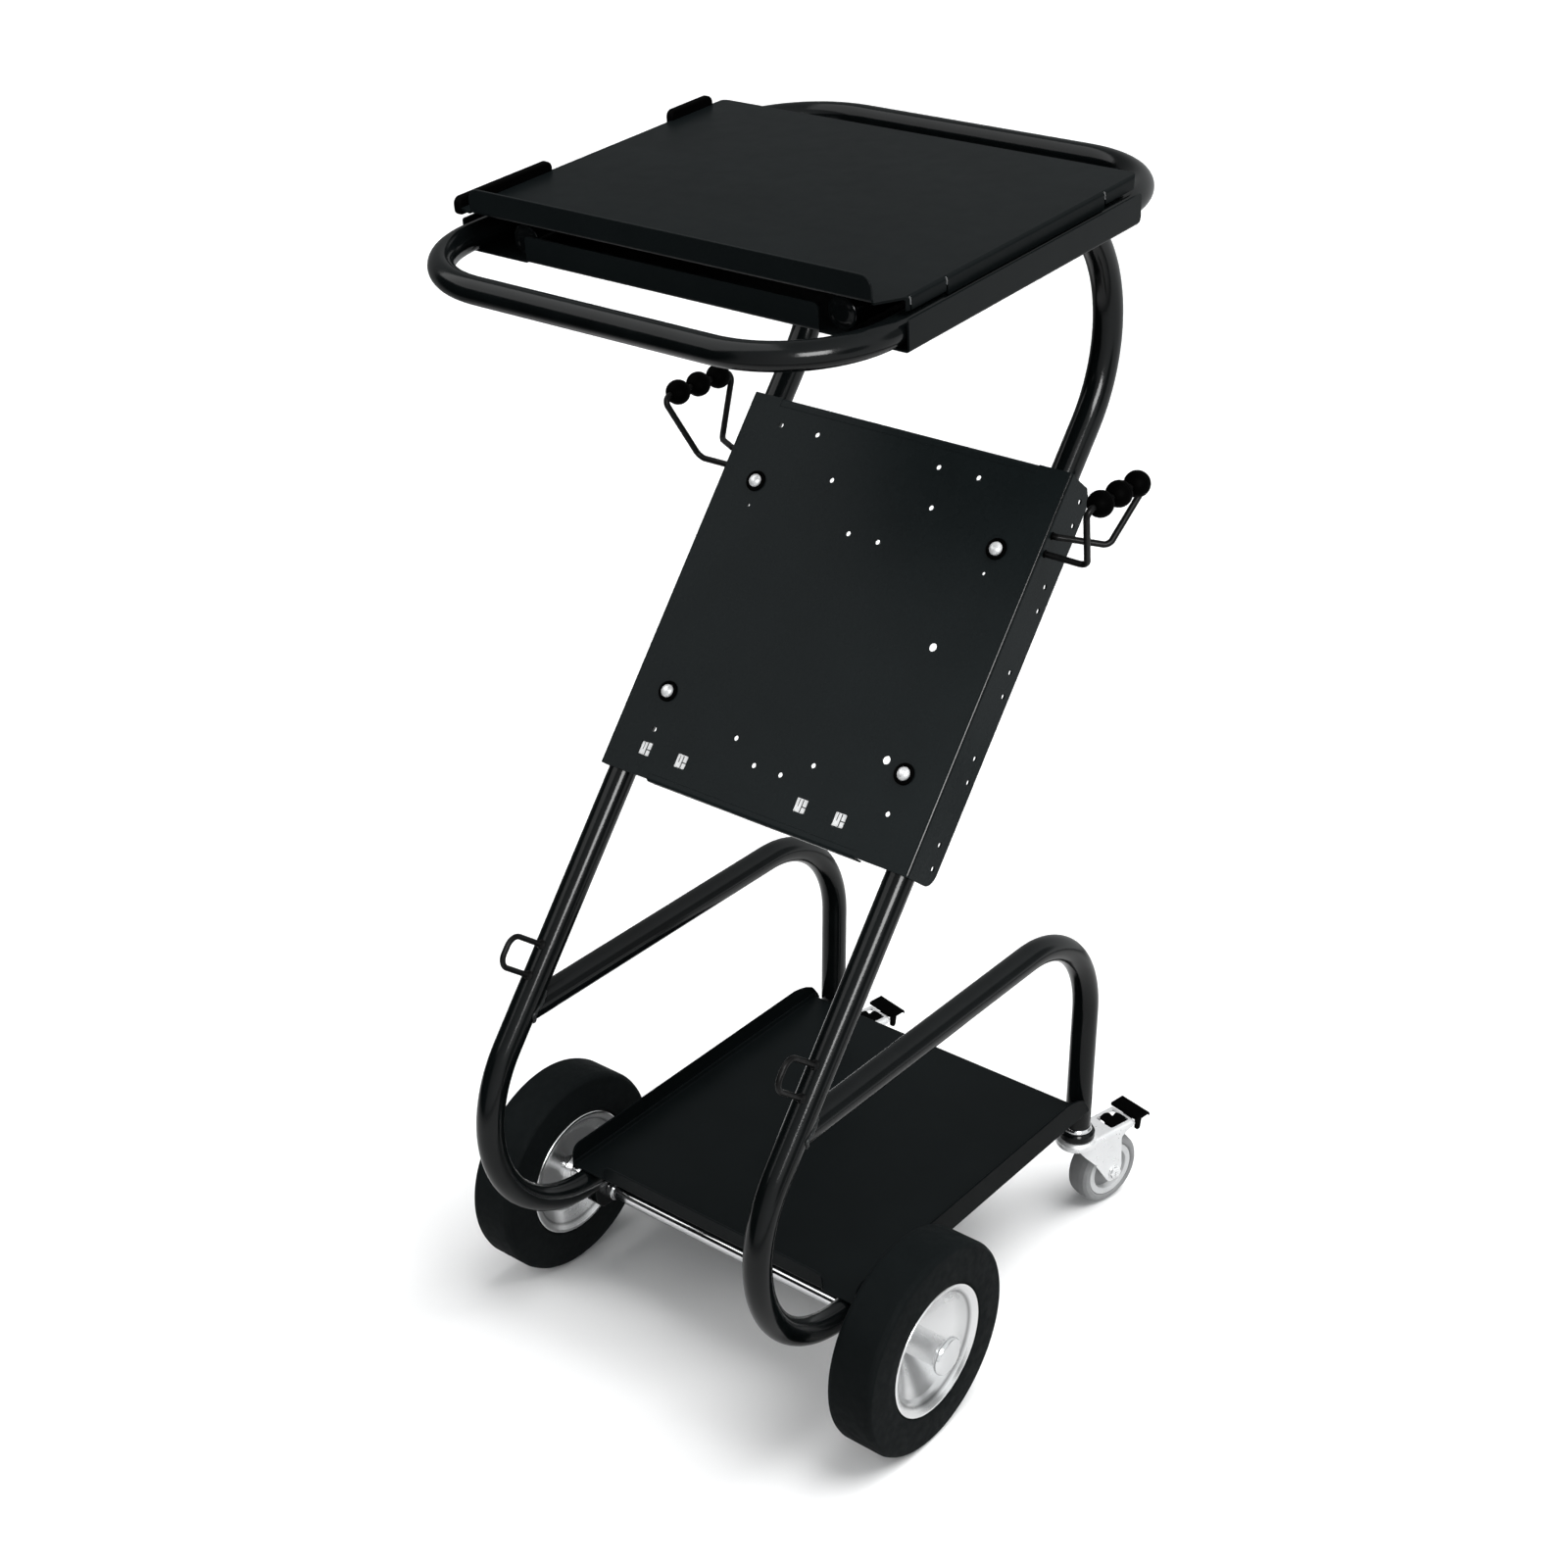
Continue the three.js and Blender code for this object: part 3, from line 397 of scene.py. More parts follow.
# ------------------------------------------------------------------ materials
class Look:
    """A node material on object coordinates, which are the row frame's metres."""

    def __init__(self, name, **sockets):
        self.mat = bpy.data.materials.new(name)
        self.mat.use_nodes = True
        self.t = self.mat.node_tree
        self.bsdf = next(n for n in self.t.nodes if n.type == "BSDF_PRINCIPLED")
        self.out = next(n for n in self.t.nodes if n.type == "OUTPUT_MATERIAL")
        self.coord = self.t.nodes.new("ShaderNodeTexCoord").outputs["Object"]
        for k, v in sockets.items():
            self.bsdf.inputs[k.replace("_", " ")].default_value = v

    def noise(self, scale, detail=3.0, rough=0.55, stretch=None):
        n = self.t.nodes.new("ShaderNodeTexNoise")
        n.inputs["Scale"].default_value = scale
        n.inputs["Detail"].default_value = detail
        n.inputs["Roughness"].default_value = rough
        src = self.coord
        if stretch:
            m = self.t.nodes.new("ShaderNodeMapping")
            m.inputs["Scale"].default_value = stretch
            self.t.links.new(src, m.inputs["Vector"])
            src = m.outputs["Vector"]
        self.t.links.new(src, n.inputs["Vector"])
        return n.outputs["Fac"]

    def cells(self, scale, feature="F1"):
        n = self.t.nodes.new("ShaderNodeTexVoronoi")
        n.feature = feature
        n.inputs["Scale"].default_value = scale
        self.t.links.new(self.coord, n.inputs["Vector"])
        return n.outputs["Color" if feature == "F1" else "Distance"]

    def span(self, fac, lo, hi, a=0.3, b=0.7):
        n = self.t.nodes.new("ShaderNodeMapRange")
        for k, v in (("From Min", a), ("From Max", b), ("To Min", lo), ("To Max", hi)):
            n.inputs[k].default_value = v
        self.t.links.new(fac, n.inputs["Value"])
        return n.outputs["Result"]

    def ramp(self, fac, *stops):
        n = self.t.nodes.new("ShaderNodeValToRGB")
        el = n.color_ramp.elements
        while len(el) < len(stops):
            el.new(0.5)
        for e, (p, c) in zip(el, stops):
            e.position, e.color = p, (*c, 1.0)
        self.t.links.new(fac, n.inputs["Fac"])
        return n.outputs["Color"]

    def add(self, a, b, k=1.0):
        n = self.t.nodes.new("ShaderNodeMath")
        n.operation = "MULTIPLY_ADD"
        n.inputs[1].default_value = k
        self.t.links.new(b, n.inputs[0])
        self.t.links.new(a, n.inputs[2])
        return n.outputs["Value"]

    def set(self, socket, value):
        self.t.links.new(value, self.bsdf.inputs[socket])

    def bump(self, height, strength, distance):
        n = self.t.nodes.new("ShaderNodeBump")
        n.inputs["Strength"].default_value = strength
        n.inputs["Distance"].default_value = distance
        self.t.links.new(height, n.inputs["Height"])
        self.t.links.new(n.outputs["Normal"], self.bsdf.inputs["Normal"])


def grey(v, tint=(1.0, 1.0, 1.0)):
    return (v * tint[0], v * tint[1], v * tint[2])


COOL = (0.78, 1.04, 1.1)

# gloss powder coat on the tubes: orange peel, a little uneven gloss
tube_look = Look("tube_paint", IOR=1.5, Specular_IOR_Level=0.23)
n1 = tube_look.noise(38, 4)
tube_look.set("Base Color", tube_look.ramp(n1, (0.35, grey(0.0030, COOL)), (0.65, grey(0.0042, COOL))))
tube_look.set("Roughness", tube_look.span(tube_look.noise(90, 5), 0.12, 0.17))
tube_look.bump(tube_look.add(tube_look.noise(620, 2, 0.4), tube_look.noise(2600, 2), 0.25), 0.05, 0.0006)
TUBE = tube_look.mat

# satin powder coat on the sheets, one paint set in lit and shaded copies, each copy's tone a painted light or shade
def satin(name, tone, spec, rough):
    look = Look(name, IOR=1.5, Specular_IOR_Level=spec)
    look.set("Base Color", look.ramp(look.noise(14, 5), (0.32, grey(tone * 0.92, COOL)), (0.68, grey(tone * 1.08, COOL))))
    look.set("Roughness", look.span(look.noise(60, 5), rough, rough + 0.05))
    look.bump(look.add(look.noise(900, 2, 0.45), look.noise(3400, 2), 0.35), 0.05, 0.0005)
    return look.mat


# the deck, tray and tray walls are darker copies as painted shade, and the panel a lighter copy as painted light
SHEETM = satin("sheet_paint", 0.0064, 0.075, 0.29)
DECKM = satin("deck_paint", 0.0056, 0.045, 0.30)
PANELM = satin("panel_paint", 0.0116, 0.062, 0.25)
TRAYM = satin("tray_paint", 0.0052, 0.07, 0.30)
WALLM = satin("tray_wall_paint", 0.0040, 0.020, 0.30)

# coated wire
wire_look = Look("wire_paint", IOR=1.5, Specular_IOR_Level=0.16)
wire_look.set("Base Color", wire_look.ramp(wire_look.noise(60, 4), (0.35, grey(0.0022)), (0.65, grey(0.0034))))
wire_look.set("Roughness", wire_look.span(wire_look.noise(150, 4), 0.33, 0.44))
wire_look.bump(wire_look.noise(1400, 2), 0.12, 0.0004)
WIRE = wire_look.mat

# moulded plastic and rubber pieces
plastic_look = Look("moulded_black", IOR=1.46, Specular_IOR_Level=0.016)
plastic_look.set("Base Color", plastic_look.ramp(plastic_look.noise(80, 4), (0.35, grey(0.0004)), (0.65, grey(0.0007))))
plastic_look.set("Roughness", plastic_look.span(plastic_look.noise(240, 4), 0.5, 0.62))
plastic_look.bump(plastic_look.noise(4200, 3), 0.2, 0.0003)
PLASTIC = plastic_look.mat

# polished chrome
chrome_look = Look("chrome_plate", Metallic=1.0)
chrome_look.set("Base Color", chrome_look.ramp(chrome_look.noise(45, 4), (0.35, (0.80, 0.81, 0.82)), (0.65, (0.86, 0.865, 0.87))))
chrome_look.set("Roughness", chrome_look.span(chrome_look.noise(220, 5, 0.6, (0.2, 1, 1)), 0.07, 0.15))
chrome_look.bump(chrome_look.noise(700, 3, 0.5, (0.1, 1, 1)), 0.03, 0.0004)
CHROME = chrome_look.mat

# zinc plate with a faint spangle
zinc_look = Look("zinc_plate", Metallic=0.6)
spangle = zinc_look.cells(420)
zinc_look.set("Base Color", zinc_look.ramp(zinc_look.add(zinc_look.noise(30, 4), spangle, 0.03), (0.3, (0.88, 0.885, 0.89)), (0.8, (0.94, 0.943, 0.946))))
zinc_look.set("Roughness", zinc_look.span(zinc_look.noise(160, 4), 0.26, 0.36))
zinc_look.bump(zinc_look.noise(420, 2), 0.008, 0.0003)
ZINC = zinc_look.mat

# bright turned bolt heads, also used for the slivers that paint the highlight in the skirt slits
bolt_look = Look("bolt_plate", Metallic=0.35)
bolt_look.set("Base Color", bolt_look.ramp(bolt_look.noise(90, 4), (0.35, (0.87, 0.875, 0.88)), (0.65, (0.94, 0.943, 0.946))))
bolt_look.set("Roughness", bolt_look.span(bolt_look.noise(400, 4), 0.25, 0.36))
bolt_look.bump(bolt_look.noise(2600, 3), 0.06, 0.0003)
BOLT = bolt_look.mat

# pale clips behind the square openings
clip_look = Look("pale_clip", IOR=1.46, Specular_IOR_Level=0.3)
clip_look.set("Base Color", clip_look.ramp(clip_look.noise(120, 4), (0.35, (0.86, 0.863, 0.866)), (0.65, (0.92, 0.922, 0.924))))
clip_look.set("Roughness", clip_look.span(clip_look.noise(300, 4), 0.4, 0.55))
clip_look.bump(clip_look.noise(2400, 3), 0.1, 0.0003)
CLIP = clip_look.mat

# pressed bright rim
rim_look = Look("rim_plate", Metallic=1.0)
# duller pressed dish and bright hub tube, set by distance from the axle, with painted shade in a dark band under the
# rolled edge, where no groove is modelled, and a painted highlight on the brighter rolled edge
off = rim_look.t.nodes.new("ShaderNodeMapping")
off.inputs["Location"].default_value = (0, (355.8 - SHIFT) * MM, -100.6 * MM)
rim_look.t.links.new(rim_look.coord, off.inputs["Vector"])
flat = rim_look.t.nodes.new("ShaderNodeVectorMath")
flat.operation = "MULTIPLY"
flat.inputs[1].default_value = (0, 1, 1)
rim_look.t.links.new(off.outputs["Vector"], flat.inputs[0])
out = rim_look.t.nodes.new("ShaderNodeVectorMath")
out.operation = "LENGTH"
rim_look.t.links.new(flat.outputs["Vector"], out.inputs[0])
# ramp stops 0.84 to 0.905 paint the shade band under the rolled edge, and 0.905 to 1.0 paint the highlight on the
# rolled edge
rim_look.set("Base Color", rim_look.ramp(rim_look.span(out.outputs["Value"], 0.0, 1.0, 0.0, 0.0624), *[(a, (b, b * 1.004, b * 1.008)) for a, b in ((0.0, 0.86), (0.235, 0.86), (0.255, 0.76), (0.70, 0.85), (0.84, 0.68), (0.868, 0.30), (0.905, 0.86), (1.0, 0.92))]))
rim_look.set("Roughness", rim_look.span(rim_look.noise(60, 4), 0.22, 0.28))
rim_look.bump(rim_look.noise(260, 2), 0.015, 0.0004)
RIM = rim_look.mat

# black tyre rubber
tyre_look = Look("tyre_rubber", IOR=1.45, Specular_IOR_Level=0.07)
tyre_look.set("Base Color", tyre_look.ramp(tyre_look.add(tyre_look.noise(22, 5), tyre_look.noise(320, 4), 0.4), (0.35, grey(0.0044, COOL)), (0.95, grey(0.0062, COOL))))
tyre_look.set("Roughness", tyre_look.span(tyre_look.noise(120, 5), 0.6, 0.78))
tyre_look.bump(tyre_look.add(tyre_look.noise(2200, 3), tyre_look.noise(260, 3), 0.5), 0.22, 0.0005)
TYRE = tyre_look.mat

# grey soft caster tread
grey_look = Look("grey_tread", IOR=1.45, Specular_IOR_Level=0.25)
grey_look.set("Base Color", grey_look.ramp(grey_look.add(grey_look.noise(60, 5), grey_look.noise(600, 3), 0.3), (0.35, (0.245, 0.246, 0.248)), (0.9, (0.305, 0.306, 0.309))))
grey_look.set("Roughness", grey_look.span(grey_look.noise(300, 4), 0.55, 0.7))
grey_look.bump(grey_look.noise(3000, 3), 0.15, 0.0003)
GREY = grey_look.mat

# light grey moulded hub
hub_look = Look("grey_hub", IOR=1.46, Specular_IOR_Level=0.4)
hub_look.set("Base Color", hub_look.ramp(hub_look.noise(70, 4), (0.35, (0.61, 0.613, 0.616)), (0.65, (0.66, 0.663, 0.666))))
hub_look.set("Roughness", hub_look.span(hub_look.noise(350, 4), 0.38, 0.5))
hub_look.bump(hub_look.noise(3600, 3), 0.12, 0.0003)
HUB = hub_look.mat

# weld beads keep the paint of the tubes over their ripples
weld_look = Look("weld_paint", IOR=1.5, Specular_IOR_Level=0.42)
weld_look.set("Base Color", weld_look.ramp(weld_look.noise(120, 4), (0.35, grey(0.006, COOL)), (0.65, grey(0.009, COOL))))
weld_look.set("Roughness", weld_look.span(weld_look.noise(300, 4), 0.3, 0.42))
weld_look.bump(weld_look.noise(900, 3), 0.25, 0.0008)
WELD = weld_look.mat

# ------------------------------------------------------------------ tube frame
PLUG = [(0.0, TUBE_R - 0.05), (0.35, TUBE_R - 0.4), (0.35, TUBE_R - 1.7), (-0.5, TUBE_R - 1.9), (-0.5, TUBE_R - 2.6), (0.5, TUBE_R - 4.0), (1.0, TUBE_R - 7.0), (1.2, 0.0)]

run_z = SHELF_Z + 2.2 / math.cos(TILT)
top_y = (run_z - UPRIGHT_Z) / (math.tan(LEAN) - math.tan(TILT))
MEET_TOP = (top_y, UPRIGHT_Z + math.tan(LEAN) * top_y)
MEET_LOW = ((121.5 - UPRIGHT_Z) / math.tan(LEAN), 121.5)
HOOP_Y = (349.0 - UPRIGHT_Z) / math.tan(LEAN)

for side, k in SIDES_OF:
    x = k * FRAME_X
    a = shelf_raw(x, -404, 2.2)
    path = fillet([a, (x, *MEET_TOP), (x, *MEET_LOW), (x, -305, 121.5)], [121, 124], math.radians(3))
    piece(f"{side}_upright_tube", tube(Shape(), path, TUBE_R, 56, PLUG, PLUG), TUBE, "cart", [f"{side}_upright"])

    path = fillet([(x, HOOP_Y, 349), (x, 0, 349), (x, 0, 105)], 112, math.radians(3))
    piece(f"{side}_hoop_tube", tube(Shape(), path, TUBE_R, 56, None, [(0.0, TUBE_R - 0.1), (0.3, TUBE_R - 0.5), (0.3, 0)]), TUBE, "cart", [f"{side}_hoop"])

    # weld seam where the hoop meets the upright
    seam, N = [], 96
    for i in range(N):
        th = 2 * math.pi * i / N
        sn = math.sin(th)
        dy = TUBE_R * (sn * math.cos(LEAN) + abs(sn)) / math.sin(LEAN)
        seam.append(Vector((x + (TUBE_R + 0.2) * math.cos(th), HOOP_Y + dy + 0.5, 349 + (TUBE_R + 0.2) * sn)))
    rs = [1.75 + 0.3 * math.sin(i * 2 * math.pi * 24 / N) for i in range(N)]
    piece(f"{side}_hoop_weld", tube(Shape(), seam, rs, 10, closed=True), WELD, "cart", (), sharp=80)

# handle tube, in two halves that meet under the plate
RING_R = 10.65
for name, far, split in (("near_handle", -499.7, -250.15), ("far_handle", -20.2, -249.85)):
    path = fillet([shelf_raw(-198.75, split, 0), shelf_raw(-198.75, far, 0), shelf_raw(198.75, far, 0), shelf_raw(198.75, split, 0)], 87.5, math.radians(3))
    piece(f"{name}_tube", tube(Shape(), path, RING_R, 48), TUBE, "cart", [name])

# ------------------------------------------------------------------ shelf plate
NEAR, FAR, TOP = -422.0, -98.0, 23.5
SLITS = (-399.5, -356.0, -146.5)
TABS = ((-420.0, -316.0), (-167.0, -115.0))
sh = bent(Shape(on_shelf), [(-206, TOP - 13.6), (-206, TOP), (206, TOP), (206, TOP - 13.6)], NEAR, FAR, 1, -1, 3.0)
c = Shape(on_shelf)
block(c, -190, 190, -430, -418, 5, 35)
prism(c, [(192, -422), (206, -399.5), (212, -399.5), (212, -430), (190, -430), (190, -422)], 2, 35, 2)
prism(c, [(-190, -422.3), (-192, -422), (-203, -419), (-206.4, -414), (-212, -414), (-212, -430), (-190, -430)], 2, 35, 2)
for k in (-1, 1):
    xs = sorted((k * 199.0, k * 212.0))
    prism(c, [(xs[0], -440), (xs[1], -440), (xs[1], -356.0), (xs[0], -356.0)], 0, TOP - 10.3, 2)
    prism(c, [(xs[0], -146.5), (xs[1], -146.5), (xs[1], -90), (xs[0], -90)], 0, TOP - 10.3, 2)
c2 = Shape(on_shelf)
for k in (-1, 1):
    xs = sorted((k * 203.9, k * 212.0))
    for v in (SLITS[0], SLITS[1], SLITS[2] - 1.8):
        block(c2, *xs, v, v + 1.8, 0, TOP - 0.35)
    corner(c2, k * 197, -107, 9, k, 1, 0, 35, 2)
c3 = Shape(on_shelf)
for a, b in TABS:
    block(c3, -212, -202, a - 0.8, b + 0.8, 0, 35)
block(c3, -212, -203, -430, -419.0, 0, 20.9)
lip = bent(Shape(on_shelf), [(-418, TOP - SKIN), (NEAR, TOP - SKIN), (NEAR, 41.8)], -190, 190, 0, -1, 3.4)
cl = Shape(on_shelf)
for k in (-1, 1):
    corner(cl, k * 180, 31.8, 10, k, 1, -430, -410, 1)
piece("shelf_deck", sh, DECKM, "cart", ["shelf_plate"], cut=(c, c2, c3), bevel=0.35)
piece("shelf_lip", lip, SHEETM, "cart", (), cut=(cl,), bevel=0.35)
for i, (a, b) in enumerate(TABS):
    tab = bent(Shape(on_shelf), [(-202, TOP - SKIN), (-206, TOP - SKIN), (-206, 31.0)], a, b, 1, -1, 3.2)
    ct = Shape(on_shelf)
    corner(ct, a + 5, 26.0, 5, -1, 1, -212, -198, 0)
    corner(ct, b - 5, 26.0, 5, 1, 1, -212, -198, 0)
    piece(f"shelf_tab_{i + 1}", tab, SHEETM, "cart", (), cut=(ct,), bevel=0.3)
    # soft edge trim over the tab
    trim = prism(Shape(on_shelf), round_outline([(a - 1.2, 17.4), (b + 1.2, 17.4), (b + 1.2, 31.6), (a - 1.2, 31.6)], [4.0, 4.0, 6.0, 6.0]), -208.8, -201.8, 0)
    piece(f"shelf_tab_trim_{i + 1}", trim, PLASTIC, "cart", (), bevel=1.8, seg=3)
# bright slivers in the slits of the right skirt: a painted highlight standing in for the glint on the slit edges
for i, v in enumerate((SLITS[0] + 1.75, SLITS[1] + 1.75, SLITS[2] - 0.05)):
    e = bent(Shape(on_shelf), [(202.5, TOP - 0.2), (205.8, TOP - 0.2), (205.8, TOP - 6.5)], v, v + 0.25, 1, -1, 2.8, 1.4)
    piece(f"skirt_slit_highlight_{i + 1}", e, BOLT, "cart", (), flat=True)


# ------------------------------------------------------------------ pan under the shelf
sh = bent(Shape(on_shelf), [(-212.2, 10.9), (-212.2, -13.45), (212.2, -13.45), (212.2, 10.9)], -410, -105, 1, 1, 3.0)
c = Shape(on_shelf)
block(c, -147, 134, -420, -406, -20, 0)
c2 = Shape(on_shelf)
for k in (-1, 1):
    xs = sorted((k * 204.0, k * 216.0))
    block(c, k * FRAME_X - 15, k * FRAME_X + 15, -183, -95, -20, -6)
    corner(c2, -112, -6.45, 7, 1, -1, xs[0], xs[1], 0)
    corner(c2, -107, 8.9, 2, 1, 1, xs[0], xs[1], 0)
    corner(c2, -408, 8.9, 2, -1, 1, xs[0], xs[1], 0)
wall = bent(Shape(on_shelf), [(-406, -13.45), (-410, -13.45), (-410, 8)], -147, 134, 0, -1, 3.0)
cw = Shape(on_shelf)
corner(cw, -143, 4, 4, -1, 1, -420, -400, 1)
corner(cw, 130, 4, 4, 1, 1, -420, -400, 1)
piece("pan_tray", sh, SHEETM, "cart", ["shelf_pan"], cut=(c, c2), bevel=0.35)
piece("pan_wall", wall, SHEETM, "cart", (), cut=(cw,), bevel=0.35)

# ------------------------------------------------------------------ tool panel
P_TOP, P_BOT, P_F, P_B = -151.5, -508.5, 15.6, -28.4
sh = bent(Shape(on_lean), [(-166, P_B), (-166, P_F), (166, P_F), (166, P_B)], P_BOT, P_TOP, 1, -1, 3.2)
c = Shape(on_lean)
block(c, -134, 134, -159, -140, 5, 20)
block(c, -112, 112, -520, -503, 5, 20)
for k in (-1, 1):
    xs = sorted((k * 162.0, k * 172.0))
    corner(c, P_BOT + 13, P_B + 13, 13, -1, -1, xs[0], xs[1], 0)
    prism(c, [(P_TOP + 3, P_B - 3), (P_TOP - 10, P_B - 3), (P_TOP - 10, P_B), (P_TOP - 1, P_B + 12), (P_TOP - 1, 11), (P_TOP + 3, 11)], xs[0], xs[1], 0)
h = Shape(on_lean)
for x, s in ((-125, -175.3), (-85, -175.3), (43.6, -175.3), (84, -175.3), (-52.5, -210.6), (52, -210.6), (-15.5, -251.4), (15.5, -251.4),
             (-41.5, -448.7), (41.5, -448.7), (-125, -465.6), (-14, -465.6), (14.5, -465.6), (126, -465.6)):
    rod(h, x, s, 2.35, 8, 20, 2, 20)
for x in (-124.5, 123.6):
    rod(h, x, -251.8, 1.5, 8, 20, 2, 16)
for s in (-323, -424):
    rod(h, 105.5, s, 3.7, 8, 20, 2, 28)
for x in (-126, -85.5, 44.8, 85.2):
    prism(h, round_outline([(x - 6, -490), (x + 6, -490), (x + 6, -478), (x - 6, -478)], 0.9), 8, 20, 2)
for s in (-229.5, -430.2):
    for k in (-1, 1):
        rod(h, k * 126.6, s, 4.8, 8, 20, 2, 28)
for k in (-1, 1):
    xs = sorted((k * 160.0, k * 172.0))
    for i in range(5):
        rod(h, -166 - 76.7 * i, -14, 2.5, xs[0], xs[1], 0, 18)
        rod(h, -186 - 76.7 * i, -18.5, 2.5, xs[0], xs[1], 0, 18)
    for s in (-220.5, -204.5):
        rod(h, s, 7.6, 3.4, xs[0], xs[1], 0, 20)
piece("tool_panel_sheet", sh, PANELM, "cart", ["tool_panel"], cut=(c, h), bevel=0.35)
for side, k in SIDES_OF:
    arc = [(k * (162.8 + r * math.cos(math.radians(a))), 12.4 + r * math.sin(math.radians(a))) for r, turn in ((3.27, 1), (2.9, -1)) for a in list(range(22, 73, 5))[::turn]]
    piece(f"panel_{side}_crease", prism(Shape(on_lean), arc, P_BOT + 1.5, P_TOP - 1.5, 1), TUBE, "cart", (), bevel=0.04, seg=1)
top = bent(Shape(on_lean), [(-159, P_F), (P_TOP, P_F), (P_TOP, 1.6)], -134, 134, 0, -1, 3.0)
low = bent(Shape(on_lean), [(-503, P_F), (P_BOT - 1.6, P_F), (P_BOT - 1.6, 1.6)], -112, 112, 0, 1, 3.0)
piece("tool_panel_top_fold", top, PANELM, "cart", (), bevel=0.35)
piece("tool_panel_low_fold", low, PANELM, "cart", (), bevel=0.35)

# spring grids clipped into the square openings
for i, x in enumerate((-126, -85.5, 44.8, 85.2)):
    g = Shape(on_lean)
    block(g, x + 0.5, x + 1.4, -489.6, -478.4, 14.4, 14.75)
    block(g, x - 2.9, x - 2.3, -485.0, -478.4, 14.4, 14.7)
    block(g, x + 0.6, x + 5.6, -484.9, -484.0, 14.4, 14.8)
    piece(f"panel_grid_{i + 1}", g, TUBE, "cart", (), bevel=0.1, seg=1)
    clip = prism(Shape(on_lean), round_outline([(x - 5.7, -489.7), (x + 5.7, -489.7), (x + 5.7, -478.3), (x - 5.7, -478.3)], 0.8), 11.6, 14.5, 2)
    piece(f"panel_clip_{i + 1}", clip, CLIP, "cart", (), bevel=0.2, seg=1)

# bolts in dished washers, with nuts behind the lugs
for row, s in enumerate((-229.5, -430.2)):
    for side, k in SIDES_OF:
        tag = f"{side}_{'lower' if row else 'upper'}"
        o = (k * 126.6, s, 0)
        f = P_F
        cup = soft([(4.6, f + 0.3), (9.2, f + 0.3), (9.5, f + 0.8), (9.1, f + 1.9), (8.3, f + 1.9), (7.2, f + 1.0), (4.6, f + 0.9), (4.6, f + 0.3)], 0.3)
        piece(f"{tag}_dished_washer", lathe(Shape(on_lean), cup, o, 2, 64), PLASTIC, "cart", [f"{tag}_cup_washer"])
        nut = f - SHEET - 0.6 - 4
        h0 = f + 1.4
        b = Shape(on_lean)
        head = [(0, h0 - 0.3), (5.6, h0 - 0.3), (5.9, h0), (5.9, h0 + 0.7), (5.6, h0 + 1.4), (5.0, h0 + 2.3), (4.1, h0 + 3.2), (2.9, h0 + 3.9), (1.5, h0 + 4.3), (0, h0 + 4.4)]
        lathe(b, head, o, 2, 48)
        lathe(b, [(4, nut - 6), (4, h0 + 0.2)], o, 2, 24)
        lathe(b, [(0, nut - 9), (3.4, nut - 9), (4, nut - 8.4), (4, nut - 6)], o, 2, 24)
        lathe(b, [(4, nut - 6.5), (6.6, nut - 6.5), (7.5, nut - 6.0), (7.5, nut - 0.5), (7.0, nut), (4, nut)], o, 2, 6)
        piece(f"{tag}_dome_bolt", b, BOLT, "cart", [f"{tag}_bolt"], sharp=42)
        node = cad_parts[f"{tag}_lug"]
        node.data.materials.clear()
        node.data.materials.append(TUBE)
        m = node.modifiers.new("edge", "BEVEL")
        m.width, m.segments, m.limit_method, m.angle_limit = 0.0006, 2, "ANGLE", math.radians(40)

# ------------------------------------------------------------------ cable hooks and strap loops
HOOK_R, BALL_R = 2.8, 11.2
for side, k in SIDES_OF:
    pts = [lean_raw(163.4, -220.5, 7.6), lean_raw(171, -220.5, 7.6), raw(204, -138, 757), raw(219, -170, 818), raw(219, -72, 818), raw(204.5, -106, 765), lean_raw(171, -204.5, 7.6), lean_raw(163.4, -204.5, 7.6)]
    path = fillet([(k * p.x, p.y, p.z) for p in pts], [3, 8, 6, 6, 8, 3], math.radians(9))
    ends = [(0.2, HOOK_R - 0.3), (0.2, 0)]
    piece(f"{side}_hook_wire", tube(Shape(), path, HOOK_R, 20, ends, ends), WIRE, "cart", [f"{side}_hook"], sharp=60)
    for i, y in enumerate((-149, -121, -93)):
        bore = HOOK_R + 0.5
        a0 = math.asin(bore / BALL_R)
        prof = []
        for j in range(41):
            a = a0 + (math.pi - 2 * a0) * j / 40
            r = BALL_R - (0.22 if j == 20 else 0.0)
            prof.append((r * math.sin(a), -r * math.cos(a)))
        edge = BALL_R * math.cos(a0)
        prof = [(bore - 0.3, -edge + 0.9)] + prof + [(bore - 0.3, edge - 0.9)]
        prof.append(prof[0])
        piece(f"{side}_ball_{i + 1}", lathe(Shape(), prof, (k * 219, y, 818), 1, 64), PLASTIC, "cart", [f"{side}_hook_ball_{i + 1}"], sharp=50)

    # loop of wire welded to the upright
    n0, n1 = TUBE_R + 0.2, 58.5 - 2.6
    pts = [lean_raw(k * FRAME_X, -691 - 14.5, n0 - 0.6), lean_raw(k * FRAME_X, -691 - 14.5, n1), lean_raw(k * FRAME_X, -691 + 14.5, n1), lean_raw(k * FRAME_X, -691 + 14.5, n0 - 0.6)]
    core = fillet(pts, 11, math.radians(8))
    out = (core[1] - core[0]).normalized()
    flare = ((0.0, 4.7), (0.9, 4.3), (1.9, 3.5), (3.2, 2.9), (5.0, 2.6))
    path = [core[0] + out * d for d, _ in flare] + core[1:-1] + [core[-1] + out * d for d, _ in reversed(flare)]
    rs = [r for _, r in flare] + [2.6] * (len(core) - 2) + [r for _, r in reversed(flare)]
    piece(f"{side}_strap_loop", tube(Shape(), path, rs, 20), WIRE, "cart", [f"{side}_strap_ring"], sharp=60)

